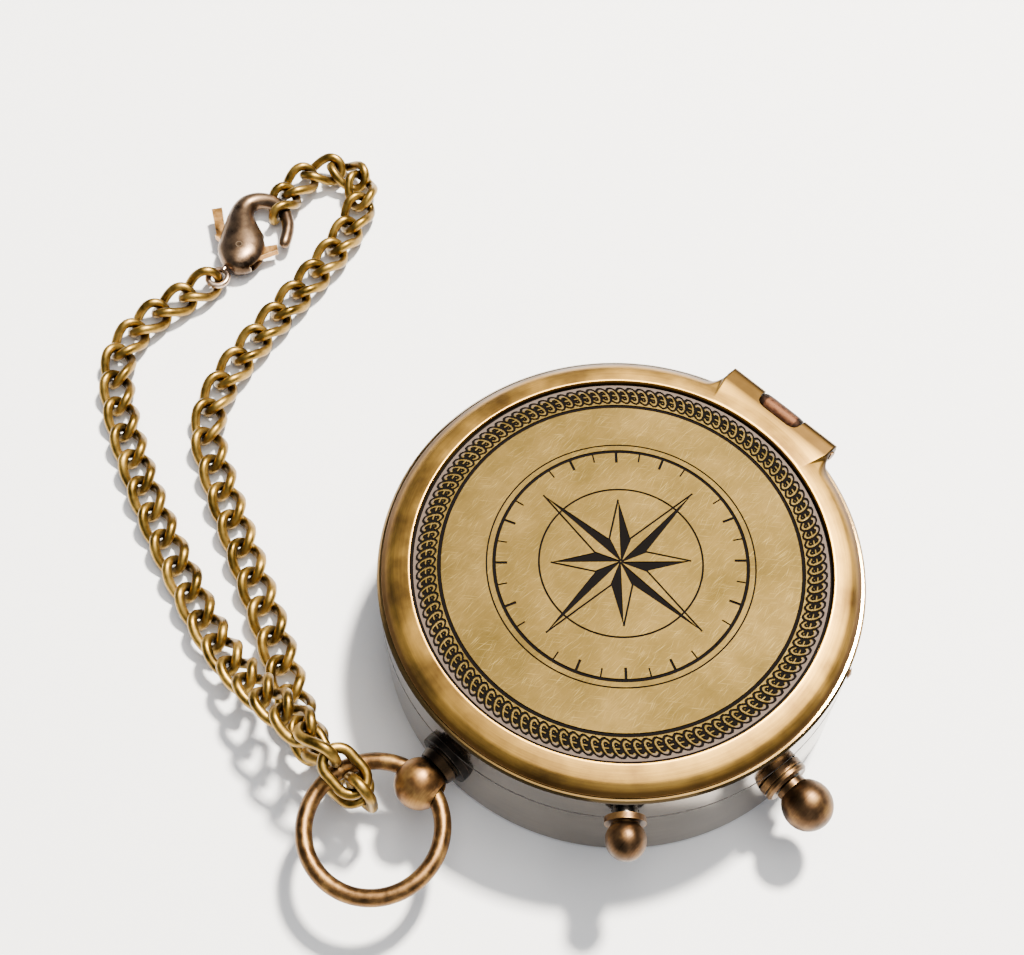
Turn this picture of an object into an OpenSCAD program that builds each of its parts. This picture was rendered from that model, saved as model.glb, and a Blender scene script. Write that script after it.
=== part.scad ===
// Pocket compass with a hinged lid, a pendant ring and a curb chain.
// Millimetres. The case stands on z = 0 with its axis on Z.
// The lid's hinge is at +Y and the pendant at -Y.

/* [Case] */
// Outer diameter of the case wall
case_d = 60; // [58:0.5:62]
// Height of the lower cup, up to the seam
cup_h = 12.6; // [12:0.1:14]
// Height of the upper ring above the seam
ring_h = 5.3; // [5.2:0.1:6.5]
// Wall of the lower cup
cup_wall = 1.8; // [1.4:0.1:2.2]
// Floor of the lower cup
floor_t = 1.5; // [1:0.1:2]
// How far the pendant, the ring and the lock knob sit below the seam
pendant_drop = 3.2; // [2.8:0.1:3.6]

/* [Lid] */
// How far the lid's lower edge stands in from the case wall
lid_inset = 0.6; // [0.2:0.1:1.2]
// Width of the sloping band round the engraved plate
band_w = 3.6; // [2.8:0.1:5]
// Thickness of the engraved plate
plate_t = 0.8; // [0.6:0.1:1]
// Height of the rim above the plate
rim_rise = 0.6; // [0.3:0.1:0.9]
// Width of the hinge tab
tab_w = 17; // [14:0.5:20]

/* [Hinge] */
// Diameter of the hinge pin
hinge_pin_d = 1.2; // [0.9:0.1:1.4]
// Diameter of the hinge knuckles
knuckle_d = 2.4; // [2.2:0.1:2.6]
// Width of the middle knuckle
knuckle_w = 6.2; // [4:0.1:8]

/* [Knobs] */
// Ball of the catch button
catch_ball_d = 4.8; // [4:0.1:5.4]
// Direction of the catch button round the case, in degrees
catch_az = 314; // [308:1:320]
// Travel of the catch button
catch_travel = 0.7; // [0.4:0.1:0.7]
// Ball of the needle lock knob
lock_ball_d = 6.2; // [5:0.1:6.6]
// Direction of the needle lock knob round the case, in degrees
lock_az = 353; // [345:1:358]
// Lift of the needle for a quarter turn of the knob
needle_lift = 0.5; // [0.4:0.05:0.5]

/* [Pendant and ring] */
// Ball of the pendant
pendant_ball_d = 6.3; // [5.8:0.1:6.6]
// Outer diameter of the pendant ring
bow_d = 18.6; // [18:0.1:19]
// Wire of the pendant ring
bow_wire = 2.1; // [1.8:0.05:2.2]

/* [Compass] */
// Length of the needle from tip to tip
needle_l = 42; // [30:1:46]
// Thickness of the crystal
crystal_t = 1.4; // [1:0.1:1.6]

/* [Chain] */
// Outer length of a link
link_l = 7.3; // [7.25:0.05:7.4]
// Outer width of a link
link_w = 5; // [4.9:0.05:5.1]
// Wire of a link
link_wire = 1.2; // [1:0.05:1.2]

/* [Clasp] */
// Thickness of the clasp's body
clasp_t = 4.6; // [4:0.1:4.8]
// Thickness of the clasp's gate
gate_t = 1.1; // [0.8:0.1:1.3]

/* [Hidden] */

$fn = 96;
// Finer wall for the pieces that are shaped to it
wall_fn = 360;
brass = [0.72, 0.58, 0.30];
old_brass = [0.45, 0.33, 0.16];
bronze = [0.50, 0.33, 0.20];
nickel = [0.80, 0.78, 0.74];
blued = [0.25, 0.30, 0.45];
tan_metal = [0.80, 0.60, 0.40];
pale_metal = [0.80, 0.68, 0.60];

// Overrun of every cut past the face it opens
over = 0.4;
// Gap between a moving part and what it passes
gap = 0.1;
// Radial clearance of a running shaft
run_gap = 0.05;
// Radial clearance of a pressed or seated part
seat_gap = 0.02;

case_r = case_d / 2;
pendant_z = cup_h - pendant_drop;
ring_z = cup_h + ring_h;
edge_r = 0.8;
seam_bevel = 0.15;
inner_r = case_r - cup_wall;

// Upper ring
bore_wall = 4.2;
bore_r = case_r - bore_wall;
spigot_h = 0.9;
spigot_r = inner_r - seat_gap;
ring_edge = 0.3;

// Dial and its spacer
dial_t = 0.5;
dial_z = cup_h - spigot_h - dial_t;
dial_r = inner_r - run_gap;
dial_hole_r = 2.7;
spacer_w = 2.6;
spacer_r = inner_r - spacer_w;
screw_count = 3;
screw_turn = 50;
screw_inset = 1.3;
screw_r = 0.9;
screw_shank_r = 0.5;
screw_shank_h = 2;
screw_slot = 0.25;
screw_slot_h = 0.2;

// Dial surround, crystal and its ring
surround_r = bore_r - run_gap;
surround_low = 1.4;
surround_high = 0.8;
surround_h = 3.9;
surround_z = cup_h - spigot_h;
crystal_z = surround_z + surround_h;
crystal_bevel = 0.2;
crystal_ring_h = 0.5;
crystal_ring_w = 0.9;

// Pivot post and needle
post_r = 1.25;
post_rise = 0.3;
post_h = dial_z + post_rise - floor_t;
post_base_r = 5;
post_base_h = 1;
pin_r = 0.35;
pin_h = 1.8;
pin_tip_h = 0.7;
pin_seat = 1.5;
hub_gap = 0.2;
hub_r = 2.4;
hub_top_r = 1.1;
hub_skirt_h = 0.7;
hub_h = 1.5;
hub_bore_r = 0.6;
tip_gap = 0.05;
blade_w = 5.2;
blade_neck_w = 3.4;
blade_t = 0.25;
blade_rise = 0.2;
blade_tip = 0.5;
blade_waist_share = 0.3;
blade_seat = 0.6;

// Needle lifter
lifter_drop = 1.2;
lifter_z = dial_z - lifter_drop;
lifter_base_r = 4.4;
lifter_base_h = 0.4;
lifter_wall = 0.85;
lifter_h = 2.7;
lifter_bore_r = post_r + gap;
hub_z = lifter_z + lifter_h + hub_gap;
pin_top = floor_t + post_h + pin_h + pin_tip_h;

// Lock knob: radii, and distances from the case's axis
lock_flange_r = 3;
lock_flange_t = 1.7;
lock_groove = 0.3;
lock_groove_w = 0.25;
lock_groove_at = 0.9;
lock_shank_r = 2;
lock_shaft_r = 1.2;
lock_inner_r = 0.8;
lock_step_in = 1.8;
lock_neck_r = 1.9;
lock_ball_gap = 0.15;
lock_ball_x = case_r + lock_flange_t + lock_ball_gap + lock_ball_d / 2;
shaft_seat = 2;
shaft_end_x = lifter_base_r + 0.3;
crank_r = 0.4;
crank_l = 2;
crank_throw = needle_lift;
lock_face_x = case_r + lock_flange_t;

// Catch button: distances outward from the case wall
catch_z = cup_h + ring_h / 2;
catch_flange_r = 2.45;
catch_flange_t = 0.7;
catch_clear = 0.1;
catch_gap = catch_travel + catch_clear;
catch_neck_r = 1.7;
catch_groove = 0.25;
catch_stem_r = 0.9;
catch_stem_in = 1.6;
catch_ball_out = 3.4;
catch_tip_x = case_r - catch_stem_in;
catch_flange_x = case_r + catch_gap;
catch_ball_x = case_r + catch_ball_out;
spring_r = 1.5;
spring_hole_r = 1.05;
spring_seat = 1.1;
pocket_w = 6.4;
pocket_out = 2.1;
pocket_in = 3.4;
pocket_h = 3.3;
tongue_t = 0.6;
tongue_w = 5.4;
tongue_h = 2.5;
tongue_gap = 0.4;

// Stud in the rim
stud_az = 17.5;
stud_r = 0.8;
stud_h = 0.4;
stud_dome_share = 0.8;
stud_drop = 1.1;
stud_shank_r = 0.5;
stud_shank_l = 1.6;

// Lid
lid_gap = 0.1;
lid_z = ring_z + lid_gap;
lid_r = case_r - lid_inset;
seat_r = lid_r - band_w;
seat_t = 0.3;
seat_w = 1.4;
plate_z = lid_z + seat_t;
plate_bevel = 0.15;
chamfer_w = 1.3;
lid_lip = 0.15;
shoulder_z = plate_z + plate_t;
rim_z = shoulder_z + rim_rise;

// Hinge
hinge_out = 0.25;
hinge_y = case_r + hinge_out;
hinge_z = ring_z;
hinge_pin_r = hinge_pin_d / 2;
knuckle_r = knuckle_d / 2;
hinge_side_gap = 0.2;
hinge_relief = 0.35;
pin_proud = 0.2;
notch_half = knuckle_w / 2 + hinge_side_gap;
tab_half = tab_w / 2;
tab_reach = 0.95;
tab_edge_y = hinge_y + tab_reach;
tab_rise = 0.1;
tab_top_z = shoulder_z + tab_rise;
tab_fall = 0.5;
tab_edge_z = tab_top_z - tab_fall;
tab_slope = 2.6;
tab_bevel = 0.3;
tab_fillet = 3;
tab_overlap = 0.5;
tab_root_y = seat_r + tab_overlap;
bracket_h = 2.6;
bracket_in = 1.6;
bracket_toe = 0.5;

// Pendant
nut_r = 3.45;
nut_t = 0.8;
neck_r = 2.6;
neck_l = 1.5;
neck_x = case_r + nut_t;
neck_groove = 0.3;
neck_groove_w = 0.25;
pendant_shank_r = 1.5;
ball_out = 4.8;
pendant_x = case_r + ball_out;
bow_back = 0.6;
bow_r = (bow_d - bow_wire) / 2;
bow_y = -(pendant_x - bow_back);
bow_gap = 0.1;
bore_steps = 4;

// Chain: where it starts on the ring's wire, and from there the route from the clasp's eye
// to the ring, and from the ring to the clasp's hook
hitch_turn = 13.67;
chain_x = -bow_r * cos(hitch_turn);
chain_y = bow_y - bow_r + bow_r * sin(hitch_turn);
clasp_route = [
    [-71.58, 38.9, 2.5], [-72.38, 33.5, 2.2], [-73.48, 27.5, 2], [-71.98, 21.5, 2], [-67.48, 17, 2],
    [-60.98, 13.5, 2], [-52.98, 10, 2], [-44.98, 7, 2], [-36.98, 4.5, 2], [-28.98, 2, 2.5],
    [-20.98, 0.5, 5], [-13.48, 0, 9.5], [-7.98, 0, 12.5], [-4.98, 0, 13.4], [-0.98, 0, 12.6]
];
long_route = [
    [-0.98, 0, 6.2], [-4.98, 0, 4.8], [-12.98, 3, 3.6], [-20.98, 7, 2.2], [-28.98, 10.5, 2],
    [-36.98, 14, 2], [-44.98, 17.5, 2], [-51.98, 21, 2], [-55.98, 25.5, 2], [-57.98, 31.5, 2],
    [-59.48, 38.5, 2], [-60.98, 46.5, 2], [-62.28, 54, 2.2], [-64.28, 59.8, 2], [-66.78, 65.1, 2.7],
    [-70.68, 67.5, 2.5], [-74.68, 65.9, 2.4], [-76.58, 61.5, 2.6], [-75.98, 58.1, 2.6], [-74.08, 53.3, 2.5]
];
// Height of the ring for which the routes are drawn, and how far each point follows it
route_ring_z = 9.4;
ring_shift = pendant_z - route_ring_z;
clasp_rise_shares = [0, 0, 0, 0, 0, 0, 0, 0, 0, 0, 0.4, 0.8, 1, 1, 1];
long_rise_shares = [1, 1, 0.5, 0, 0, 0, 0, 0, 0, 0, 0, 0, 0, 0, 0, 0, 0, 0, 0, 0];
// The three links that wrap the ring's wire, each as its two joints
wrap_route = [
    [[-0.98, 0, 12.6], [3.42, 0, 11.1]],
    [[3.82, 0, 11.7], [3.82, 0, 7.1]],
    [[3.42, 0, 7.7], [-0.98, 0, 6.2]]
];
link_slack = 0.25;
pitch = link_l - 2 * link_wire - link_slack;
link_bend_r = (link_w - link_wire) / 2;
link_straight = link_l - link_w;
// Links of each strand that twist when the ring swings
twist_count = 9;
lay_turn = 45;
cross_turn = 90;
wrap_count = 5;
end_count = 4;
eye_end_turn = 22;

// Clasp: its eye, the turn of its length, and its body's spine as [along, across, radius]
clasp_x = -71.43;
clasp_y = 39.63;
clasp_z = 2.4;
clasp_turn = 106;
spine = [
    [4.5, 1, 2.5], [5.8, 0.6, 3.8], [8.6, -1.6, 2.9], [11.4, -3.3, 1.9], [14, -3.4, 1.5],
    [15.6, -1.2, 1.15], [15.3, 1.6, 1], [13.3, 3.9, 0.95], [10.3, 5.2, 0.9]
];
spine_fn = 20;
pivot_u = 5.5;
pivot_v = 0.5;
slot_gap = 0.15;
slot_u0 = 3.6;
slot_u1 = 9.6;
slot_root_u1 = 8.7;
slot_left = 8;
slot_right = 3.4;
slot_root_right = 6;
gate_l = 5.5;
gate_boss_r = 1.3;
gate_lip = 0.1;
gate_tip_w = 0.9;
gate_root_w = 2.3;
gate_turn = 51;
thumb_w = 1.3;
thumb_l = 5;
thumb_turn = 76;
thumb_bend = 35;
thumb_tab_l = 5.2;
thumb_tab_w = 1.6;
rivet_r = 0.5;
eye_r = 1.45;
eye_wire_r = 0.45;
eye_stem_r = 0.5;
eye_stem_l = 3.2;

function lerp(a, b, t) = a + (b - a) * t;
function run_to(r, i) = i <= 0 ? 0 : run_to(r, i - 1) + norm(r[i] - r[i - 1]);
function seg_of(r, s, i = 0) = (i >= len(r) - 2 || run_to(r, i + 1) >= s) ? i : seg_of(r, s, i + 1);
function along(r, s) =
    let (i = seg_of(r, s))
    lerp(r[i], r[i + 1], (s - run_to(r, i)) / norm(r[i + 1] - r[i]));
function link_count(r) = round(run_to(r, len(r) - 1) / pitch);
function joints(r) =
    let (n = link_count(r), total = run_to(r, len(r) - 1))
    [for (k = [0 : n]) along(r, total * k / n)];
function raised(r, shares) =
    [for (k = [0 : len(r) - 1]) r[k] + [0, 0, ring_shift * shares[k]]];
function ramp(j, n) = max(0, 1 - (j + 0.5) / n);
function parity(n) = n % 2 == 0 ? -1 : 1;

module at_az(az, z) {
    rotate([0, 0, az]) translate([0, 0, z]) children();
}

// A cylinder along the local X axis
module rod(x0, x1, r) {
    translate([x0, 0, 0]) rotate([0, 90, 0]) cylinder(h = x1 - x0, r = r);
}

// A shape of revolution about the local X axis, from [x, radius] points
module turned(points) {
    rotate([0, 90, 0]) rotate_extrude() polygon([for (p = points) [p[1], p[0]]]);
}

module torus(r, wire_r, angle = 360) {
    rotate_extrude(angle = angle) translate([r, 0]) circle(r = wire_r, $fn = 48);
}

// Case and what it holds

module case_cup() {
    color(nickel) difference() {
        rotate_extrude() polygon(concat(
            [[0, 0]],
            [for (a = [0 : 15 : 90]) [case_r - edge_r + edge_r * sin(a), edge_r - edge_r * cos(a)]],
            [[case_r, cup_h - seam_bevel], [case_r - seam_bevel, cup_h], [inner_r, cup_h],
             [inner_r, floor_t], [0, floor_t]]
        ));
        at_az(-90, pendant_z) rod(inner_r - over, case_r + over, pendant_shank_r + seat_gap);
        at_az(lock_az, pendant_z) rod(inner_r - over, case_r + over, lock_shank_r + seat_gap);
    }
}

module upper_ring() {
    color(nickel) difference() {
        union() {
            difference() {
                rotate_extrude() polygon([
                    [bore_r, cup_h - spigot_h], [spigot_r, cup_h - spigot_h], [spigot_r, cup_h],
                    [case_r - seam_bevel, cup_h], [case_r, cup_h + seam_bevel],
                    [case_r, ring_z - ring_edge], [case_r - ring_edge, ring_z], [bore_r, ring_z]
                ]);
                for (side = [0, 1]) mirror([side, 0, 0]) translate([0, hinge_y, hinge_z])
                    rod(knuckle_w / 2, tab_half + hinge_side_gap, knuckle_r + hinge_relief);
            }
            hinge_bracket();
        }
        at_az(catch_az, catch_z) {
            rod(case_r - pocket_out - over, case_r, catch_stem_r + run_gap);
            rod(case_r - spring_seat, case_r + over, spring_r + gap);
        }
        at_az(catch_az, ring_z - pocket_h)
            translate([case_r - pocket_in, -pocket_w / 2, 0])
                cube([pocket_in - pocket_out, pocket_w, pocket_h + over]);
        at_az(stud_az, ring_z - stud_drop)
            rod(case_r - stud_shank_l, case_r + over, stud_shank_r + seat_gap);
        translate([0, hinge_y, hinge_z])
            rod(-knuckle_w / 2 - over, knuckle_w / 2 + over, hinge_pin_r + seat_gap);
    }
}

// The middle knuckle and the block that carries it
module hinge_bracket() {
    translate([-knuckle_w / 2, 0, 0]) rotate([90, 0, 90]) linear_extrude(knuckle_w) polygon([
        [case_r - bracket_in, hinge_z - bracket_h], [case_r, hinge_z - bracket_h],
        [hinge_y + knuckle_r, hinge_z - bracket_toe], [hinge_y + knuckle_r, hinge_z],
        [case_r - bracket_in, hinge_z]
    ]);
    translate([0, hinge_y, hinge_z]) rod(-knuckle_w / 2, knuckle_w / 2, knuckle_r);
}

module rim_stud() {
    color(brass) at_az(stud_az, ring_z - stud_drop) turned([
        [case_r - stud_shank_l, 0], [case_r - stud_shank_l, stud_shank_r],
        [case_r + run_gap, stud_shank_r], [case_r + run_gap, stud_r],
        [case_r + stud_h / 2, stud_r * stud_dome_share], [case_r + stud_h, 0]
    ]);
}

module pivot_post() {
    color(brass) difference() {
        union() {
            translate([0, 0, floor_t]) cylinder(h = post_base_h, r = post_base_r);
            translate([0, 0, floor_t]) cylinder(h = post_h, r = post_r);
        }
        translate([0, 0, floor_t + post_h - pin_seat]) cylinder(h = pin_seat + over, r = pin_r);
    }
}

module pivot_pin() {
    color(blued) translate([0, 0, floor_t + post_h - pin_seat]) {
        cylinder(h = pin_seat + pin_h, r = pin_r);
        translate([0, 0, pin_seat + pin_h]) cylinder(h = pin_tip_h, r1 = pin_r, r2 = 0);
    }
}

module dial_spacer() {
    color(brass) difference() {
        translate([0, 0, floor_t]) cylinder(h = dial_z - floor_t, r = inner_r - run_gap);
        translate([0, 0, floor_t - over]) cylinder(h = dial_z - floor_t + 2 * over, r = spacer_r);
        at_az(lock_az, pendant_z) rod(spacer_r - over, inner_r + over, lock_shaft_r + gap);
        dial_screw_places(dial_z - screw_shank_h) cylinder(h = screw_shank_h + over, r = screw_shank_r);
    }
}

module dial_screw_places(z) {
    for (k = [0 : screw_count - 1])
        rotate([0, 0, screw_turn + k * 360 / screw_count])
            translate([inner_r - screw_inset, 0, z]) children();
}

module dial() {
    color(pale_metal) difference() {
        translate([0, 0, dial_z]) cylinder(h = dial_t, r = dial_r);
        translate([0, 0, dial_z - over]) cylinder(h = dial_t + 2 * over, r = dial_hole_r);
        dial_screw_places(dial_z - over) cylinder(h = dial_t + 2 * over, r = screw_r + gap);
    }
}

module dial_screws() {
    color(blued) dial_screw_places(dial_z) difference() {
        union() {
            cylinder(h = dial_t - gap, r = screw_r);
            translate([0, 0, -screw_shank_h]) cylinder(h = screw_shank_h, r = screw_shank_r);
        }
        translate([-screw_r - over, -screw_slot / 2, dial_t - gap - screw_slot_h])
            cube([2 * (screw_r + over), screw_slot, screw_slot_h + over]);
    }
}

module dial_surround() {
    color(brass) rotate_extrude() polygon([
        [surround_r - surround_low, surround_z], [surround_r, surround_z],
        [surround_r, surround_z + surround_h], [surround_r - surround_high, surround_z + surround_h]
    ]);
}

module crystal() {
    color([0.8, 0.9, 0.95]) translate([0, 0, crystal_z]) {
        cylinder(h = crystal_t - crystal_bevel, r = surround_r);
        translate([0, 0, crystal_t - crystal_bevel])
            cylinder(h = crystal_bevel, r1 = surround_r, r2 = surround_r - crystal_bevel);
    }
}

module crystal_ring() {
    color(brass) rotate_extrude() translate([0, crystal_z + crystal_t]) polygon([
        [surround_r - crystal_ring_w, 0], [surround_r, 0],
        [surround_r, crystal_ring_h], [surround_r - crystal_ring_w / 2, crystal_ring_h]
    ]);
}

// Needle: two tapering arms that join round the hub
module needle() {
    color(blued) translate([0, 0, hub_z + blade_rise]) difference() {
        linear_extrude(blade_t) polygon([for (s = [1, -1]) each [
            [-s * blade_tip / 2, s * needle_l / 2], [s * blade_tip / 2, s * needle_l / 2],
            [s * blade_w / 2, s * needle_l / 2 * blade_waist_share],
            [s * blade_neck_w, 0]
        ]]);
        translate([0, 0, -over]) cylinder(h = blade_t + 2 * over, r = hub_r - blade_seat);
    }
}

module needle_hub() {
    color(brass) difference() {
        rotate_extrude() polygon([
            [0, hub_z], [hub_r, hub_z], [hub_r, hub_z + blade_rise], [hub_r - blade_seat, hub_z + blade_rise],
            [hub_r - blade_seat, hub_z + hub_skirt_h], [hub_top_r, hub_z + hub_h], [0, hub_z + hub_h]
        ]);
        translate([0, 0, hub_z - over])
            cylinder(h = pin_top - pin_tip_h + tip_gap - hub_z + over, r = hub_bore_r);
        translate([0, 0, pin_top - pin_tip_h + tip_gap])
            cylinder(h = pin_tip_h, r1 = hub_bore_r, r2 = 0);
    }
}

module needle_lifter() {
    color(brass) difference() {
        union() {
            translate([0, 0, lifter_z]) cylinder(h = lifter_base_h, r = lifter_base_r);
            translate([0, 0, lifter_z]) cylinder(h = lifter_h, r = lifter_bore_r + lifter_wall);
        }
        translate([0, 0, lifter_z - over]) cylinder(h = lifter_h + 2 * over, r = lifter_bore_r);
    }
}

// Needle lock: bush, shaft with its crank, and knob, all along one radius

module lock_bush() {
    color(bronze) at_az(lock_az, pendant_z) difference() {
        turned([
            [inner_r, 0], [inner_r, lock_shank_r],
            [lock_face_x - lock_flange_t, lock_shank_r], [lock_face_x - lock_flange_t, lock_flange_r],
            [lock_face_x - lock_groove_at, lock_flange_r],
            [lock_face_x - lock_groove_at, lock_flange_r - lock_groove],
            [lock_face_x - lock_groove_at + lock_groove_w, lock_flange_r - lock_groove],
            [lock_face_x - lock_groove_at + lock_groove_w, lock_flange_r],
            [lock_face_x - lock_groove, lock_flange_r], [lock_face_x, lock_flange_r - lock_groove],
            [lock_face_x, 0]
        ]);
        rod(inner_r - over, lock_face_x + over, lock_shaft_r + run_gap);
        translate([0, 0, -pendant_z]) difference() {
            cylinder(h = cup_h, r = case_r, $fn = wall_fn);
            translate([0, 0, pendant_z]) rod(0, case_r + over, lock_shank_r);
        }
    }
}

module lock_shaft() {
    color(bronze) at_az(lock_az, pendant_z) {
        rod(inner_r - lock_step_in, lock_face_x + lock_ball_gap + shaft_seat, lock_shaft_r);
        rod(shaft_end_x, inner_r - lock_step_in, lock_inner_r);
        translate([0, -crank_throw, 0]) rod(shaft_end_x - crank_l, shaft_end_x, crank_r);
    }
}

module lock_knob() {
    color(bronze) at_az(lock_az, pendant_z) difference() {
        union() {
            rod(lock_face_x + lock_ball_gap, lock_ball_x, lock_neck_r);
            translate([lock_ball_x, 0, 0]) sphere(r = lock_ball_d / 2);
        }
        rod(lock_face_x, lock_face_x + lock_ball_gap + shaft_seat, lock_shaft_r);
    }
}

// Catch button and its spring, along the catch's radius

module catch_button() {
    color(bronze) at_az(catch_az, catch_z) {
        turned([
            [catch_tip_x, 0], [catch_tip_x, catch_stem_r - catch_groove],
            [catch_tip_x + catch_groove, catch_stem_r], [catch_flange_x, catch_stem_r],
            [catch_flange_x, catch_flange_r], [catch_flange_x + catch_flange_t, catch_flange_r],
            [catch_flange_x + catch_flange_t, catch_neck_r],
            [catch_flange_x + catch_flange_t + catch_groove, catch_neck_r],
            [catch_flange_x + catch_flange_t + catch_groove, catch_neck_r - catch_groove],
            [catch_flange_x + catch_flange_t + 2 * catch_groove, catch_neck_r - catch_groove],
            [catch_flange_x + catch_flange_t + 2 * catch_groove, catch_neck_r],
            [catch_ball_x, catch_neck_r], [catch_ball_x, 0]
        ]);
        translate([catch_ball_x, 0, 0]) sphere(r = catch_ball_d / 2);
    }
}

module catch_spring() {
    color(blued) at_az(catch_az, catch_z) difference() {
        rod(case_r - spring_seat, catch_flange_x, spring_r);
        rod(case_r - spring_seat - over, catch_flange_x + over, spring_hole_r);
    }
}

// Pendant: nut against the wall, stem with its ball, and the ring

module pendant_nut() {
    color(bronze) at_az(-90, pendant_z) difference() {
        rod(case_r - nut_t, case_r + nut_t, nut_r);
        rod(case_r - nut_t - over, case_r + nut_t + over, pendant_shank_r + seat_gap);
        translate([0, 0, -pendant_z]) cylinder(h = ring_z, r = case_r, $fn = wall_fn);
    }
}

module pendant_stem() {
    color(bronze) difference() {
        at_az(-90, pendant_z) {
            turned([
                [inner_r + gap, 0], [inner_r + gap, pendant_shank_r], [neck_x, pendant_shank_r],
                [neck_x, neck_r], [neck_x + neck_groove_w, neck_r],
                [neck_x + neck_groove_w, neck_r - neck_groove],
                [neck_x + 2 * neck_groove_w, neck_r - neck_groove],
                [neck_x + 2 * neck_groove_w, neck_r], [neck_x + neck_l, neck_r - neck_groove],
                [neck_x + neck_l, 0]
            ]);
            translate([pendant_x, 0, 0]) sphere(r = pendant_ball_d / 2);
        }
        translate([0, bow_y, pendant_z]) bow_bore();
    }
}

// Bore along X that clears the ring's curved wire through its whole swing
module bow_bore() {
    half = pendant_ball_d / 2 + over;
    turned(concat(
        [[-half, 0]],
        [for (k = [-bore_steps : bore_steps])
            let (x = half * k / bore_steps)
            [x, bow_wire / 2 + bow_gap + bow_r - sqrt(bow_r * bow_r - x * x)]],
        [[half, 0]]
    ));
}

module bow_ring() {
    color(bronze) translate([0, bow_y - bow_r, pendant_z]) torus(bow_r, bow_wire / 2);
}

// Lid: rim with its tab and hinge ears, engraved plate, tongue and hinge pin

module hinge_pin() {
    color(brass) translate([0, hinge_y, hinge_z])
        rod(-tab_half - pin_proud, tab_half + pin_proud, hinge_pin_r);
}

// Plan of the hinge tab, with a hollow curve into the rim on each side
module tab_plan() {
    fillet_x = tab_half + tab_fillet;
    fillet_y = sqrt(pow(lid_r + tab_fillet, 2) - pow(fillet_x, 2));
    translate([-tab_half, tab_root_y]) square([tab_w, tab_edge_y - tab_root_y]);
    for (side = [0, 1]) mirror([side, 0]) difference() {
        intersection() {
            translate([0, fillet_y - tab_fillet]) square([fillet_x, tab_fillet]);
            polygon([
                [0, 0], [tab_half, fillet_y], [fillet_x * lid_r / (lid_r + tab_fillet),
                fillet_y * lid_r / (lid_r + tab_fillet)]
            ]);
        }
        translate([fillet_x, fillet_y]) circle(r = tab_fillet);
    }
}

module lid_shell() {
    color(old_brass) difference() {
        union() {
            rotate_extrude() polygon([
                [seat_r - seat_w, lid_z], [lid_r, lid_z], [lid_r, lid_z + lid_lip],
                [lid_r - chamfer_w, shoulder_z], [seat_r, rim_z], [seat_r, plate_z],
                [seat_r - seat_w, plate_z]
            ]);
            intersection() {
                translate([0, 0, lid_z]) linear_extrude(tab_top_z - lid_z) tab_plan();
                translate([-tab_w, 0, 0]) rotate([90, 0, 90]) linear_extrude(2 * tab_w) polygon([
                    [0, lid_z], [tab_edge_y, lid_z], [tab_edge_y, tab_edge_z - tab_bevel],
                    [tab_edge_y - tab_bevel, tab_edge_z], [tab_edge_y - tab_slope, tab_top_z],
                    [0, tab_top_z]
                ]);
            }
            for (side = [0, 1]) mirror([side, 0, 0]) translate([0, hinge_y, hinge_z])
                rod(knuckle_w / 2 + hinge_side_gap, tab_half, knuckle_r);
        }
        translate([0, hinge_y, hinge_z]) {
            rod(-tab_w, tab_w, hinge_pin_r + run_gap);
            rod(-notch_half, notch_half, knuckle_r + hinge_relief);
        }
        translate([-notch_half, hinge_y, hinge_z - knuckle_d])
            cube([2 * notch_half, knuckle_d, 2 * knuckle_d]);
    }
}

module lid_plate() {
    color(brass) translate([0, 0, plate_z]) {
        cylinder(h = plate_t - plate_bevel, r = seat_r - run_gap);
        translate([0, 0, plate_t - plate_bevel])
            cylinder(h = plate_bevel, r1 = seat_r - run_gap, r2 = seat_r - run_gap - plate_bevel);
    }
}

module lid_tongue() {
    color(brass) at_az(catch_az, lid_z - tongue_h)
        translate([case_r - pocket_out - tongue_gap - tongue_t, -tongue_w / 2, 0])
            cube([tongue_t, tongue_w, tongue_h]);
}

// Chain

module link() {
    for (end = [0, 1]) rotate([0, 0, end * 180]) {
        translate([link_straight / 2, 0, 0]) rotate([0, 0, -90]) torus(link_bend_r, link_wire / 2, 180);
        translate([0, link_bend_r, 0]) rod(-link_straight / 2, link_straight / 2, link_wire / 2);
    }
}

module from_ring() {
    translate([chain_x, chain_y, 0]) children();
}

// A link from joint a to joint b, turned about its own length by roll
module link_between(a, b, roll) {
    d = b - a;
    translate((a + b) / 2)
        rotate([roll, -asin(d[2] / norm(d)), atan2(d[1], d[0])]) link();
}

// Links of the strand from the clasp, counted back from the ring
module clasp_strand(from, to) {
    pts = joints(raised(clasp_route, clasp_rise_shares));
    n = len(pts) - 1;
    for (j = [from : min(to, n - 1)])
        link_between(pts[n - 1 - j], pts[n - j], lay_turn + lay_turn * ramp(j, wrap_count)
            + parity(n) * eye_end_turn * ramp(n - 1 - j, end_count) + cross_turn * (j % 2));
}

// Links of the long strand, counted from the ring to the clasp's hook
module long_strand(from, to) {
    pts = joints(raised(long_route, long_rise_shares));
    n = len(pts) - 1;
    for (j = [from : min(to, n - 1)])
        link_between(pts[j], pts[j + 1], lay_turn + lay_turn * ramp(j, wrap_count)
            + parity(n) * lay_turn * ramp(n - 1 - j, end_count) + cross_turn * (j % 2));
}

module chain_hitch() {
    color(brass) from_ring() translate([0, 0, ring_shift]) for (k = [0 : 2])
        link_between(wrap_route[k][0], wrap_route[k][1], cross_turn * (k % 2));
}

module chain_ring_end() {
    color(brass) from_ring() {
        clasp_strand(0, twist_count - 1);
        long_strand(0, twist_count - 1);
    }
}

module chain_clasp_end() {
    color(brass) from_ring() clasp_strand(twist_count, len(joints(clasp_route)));
}

module chain_long_end() {
    color(brass) from_ring() long_strand(twist_count, len(joints(long_route)));
}

// Clasp, laid out with its length on X and its opening towards -Y

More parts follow.
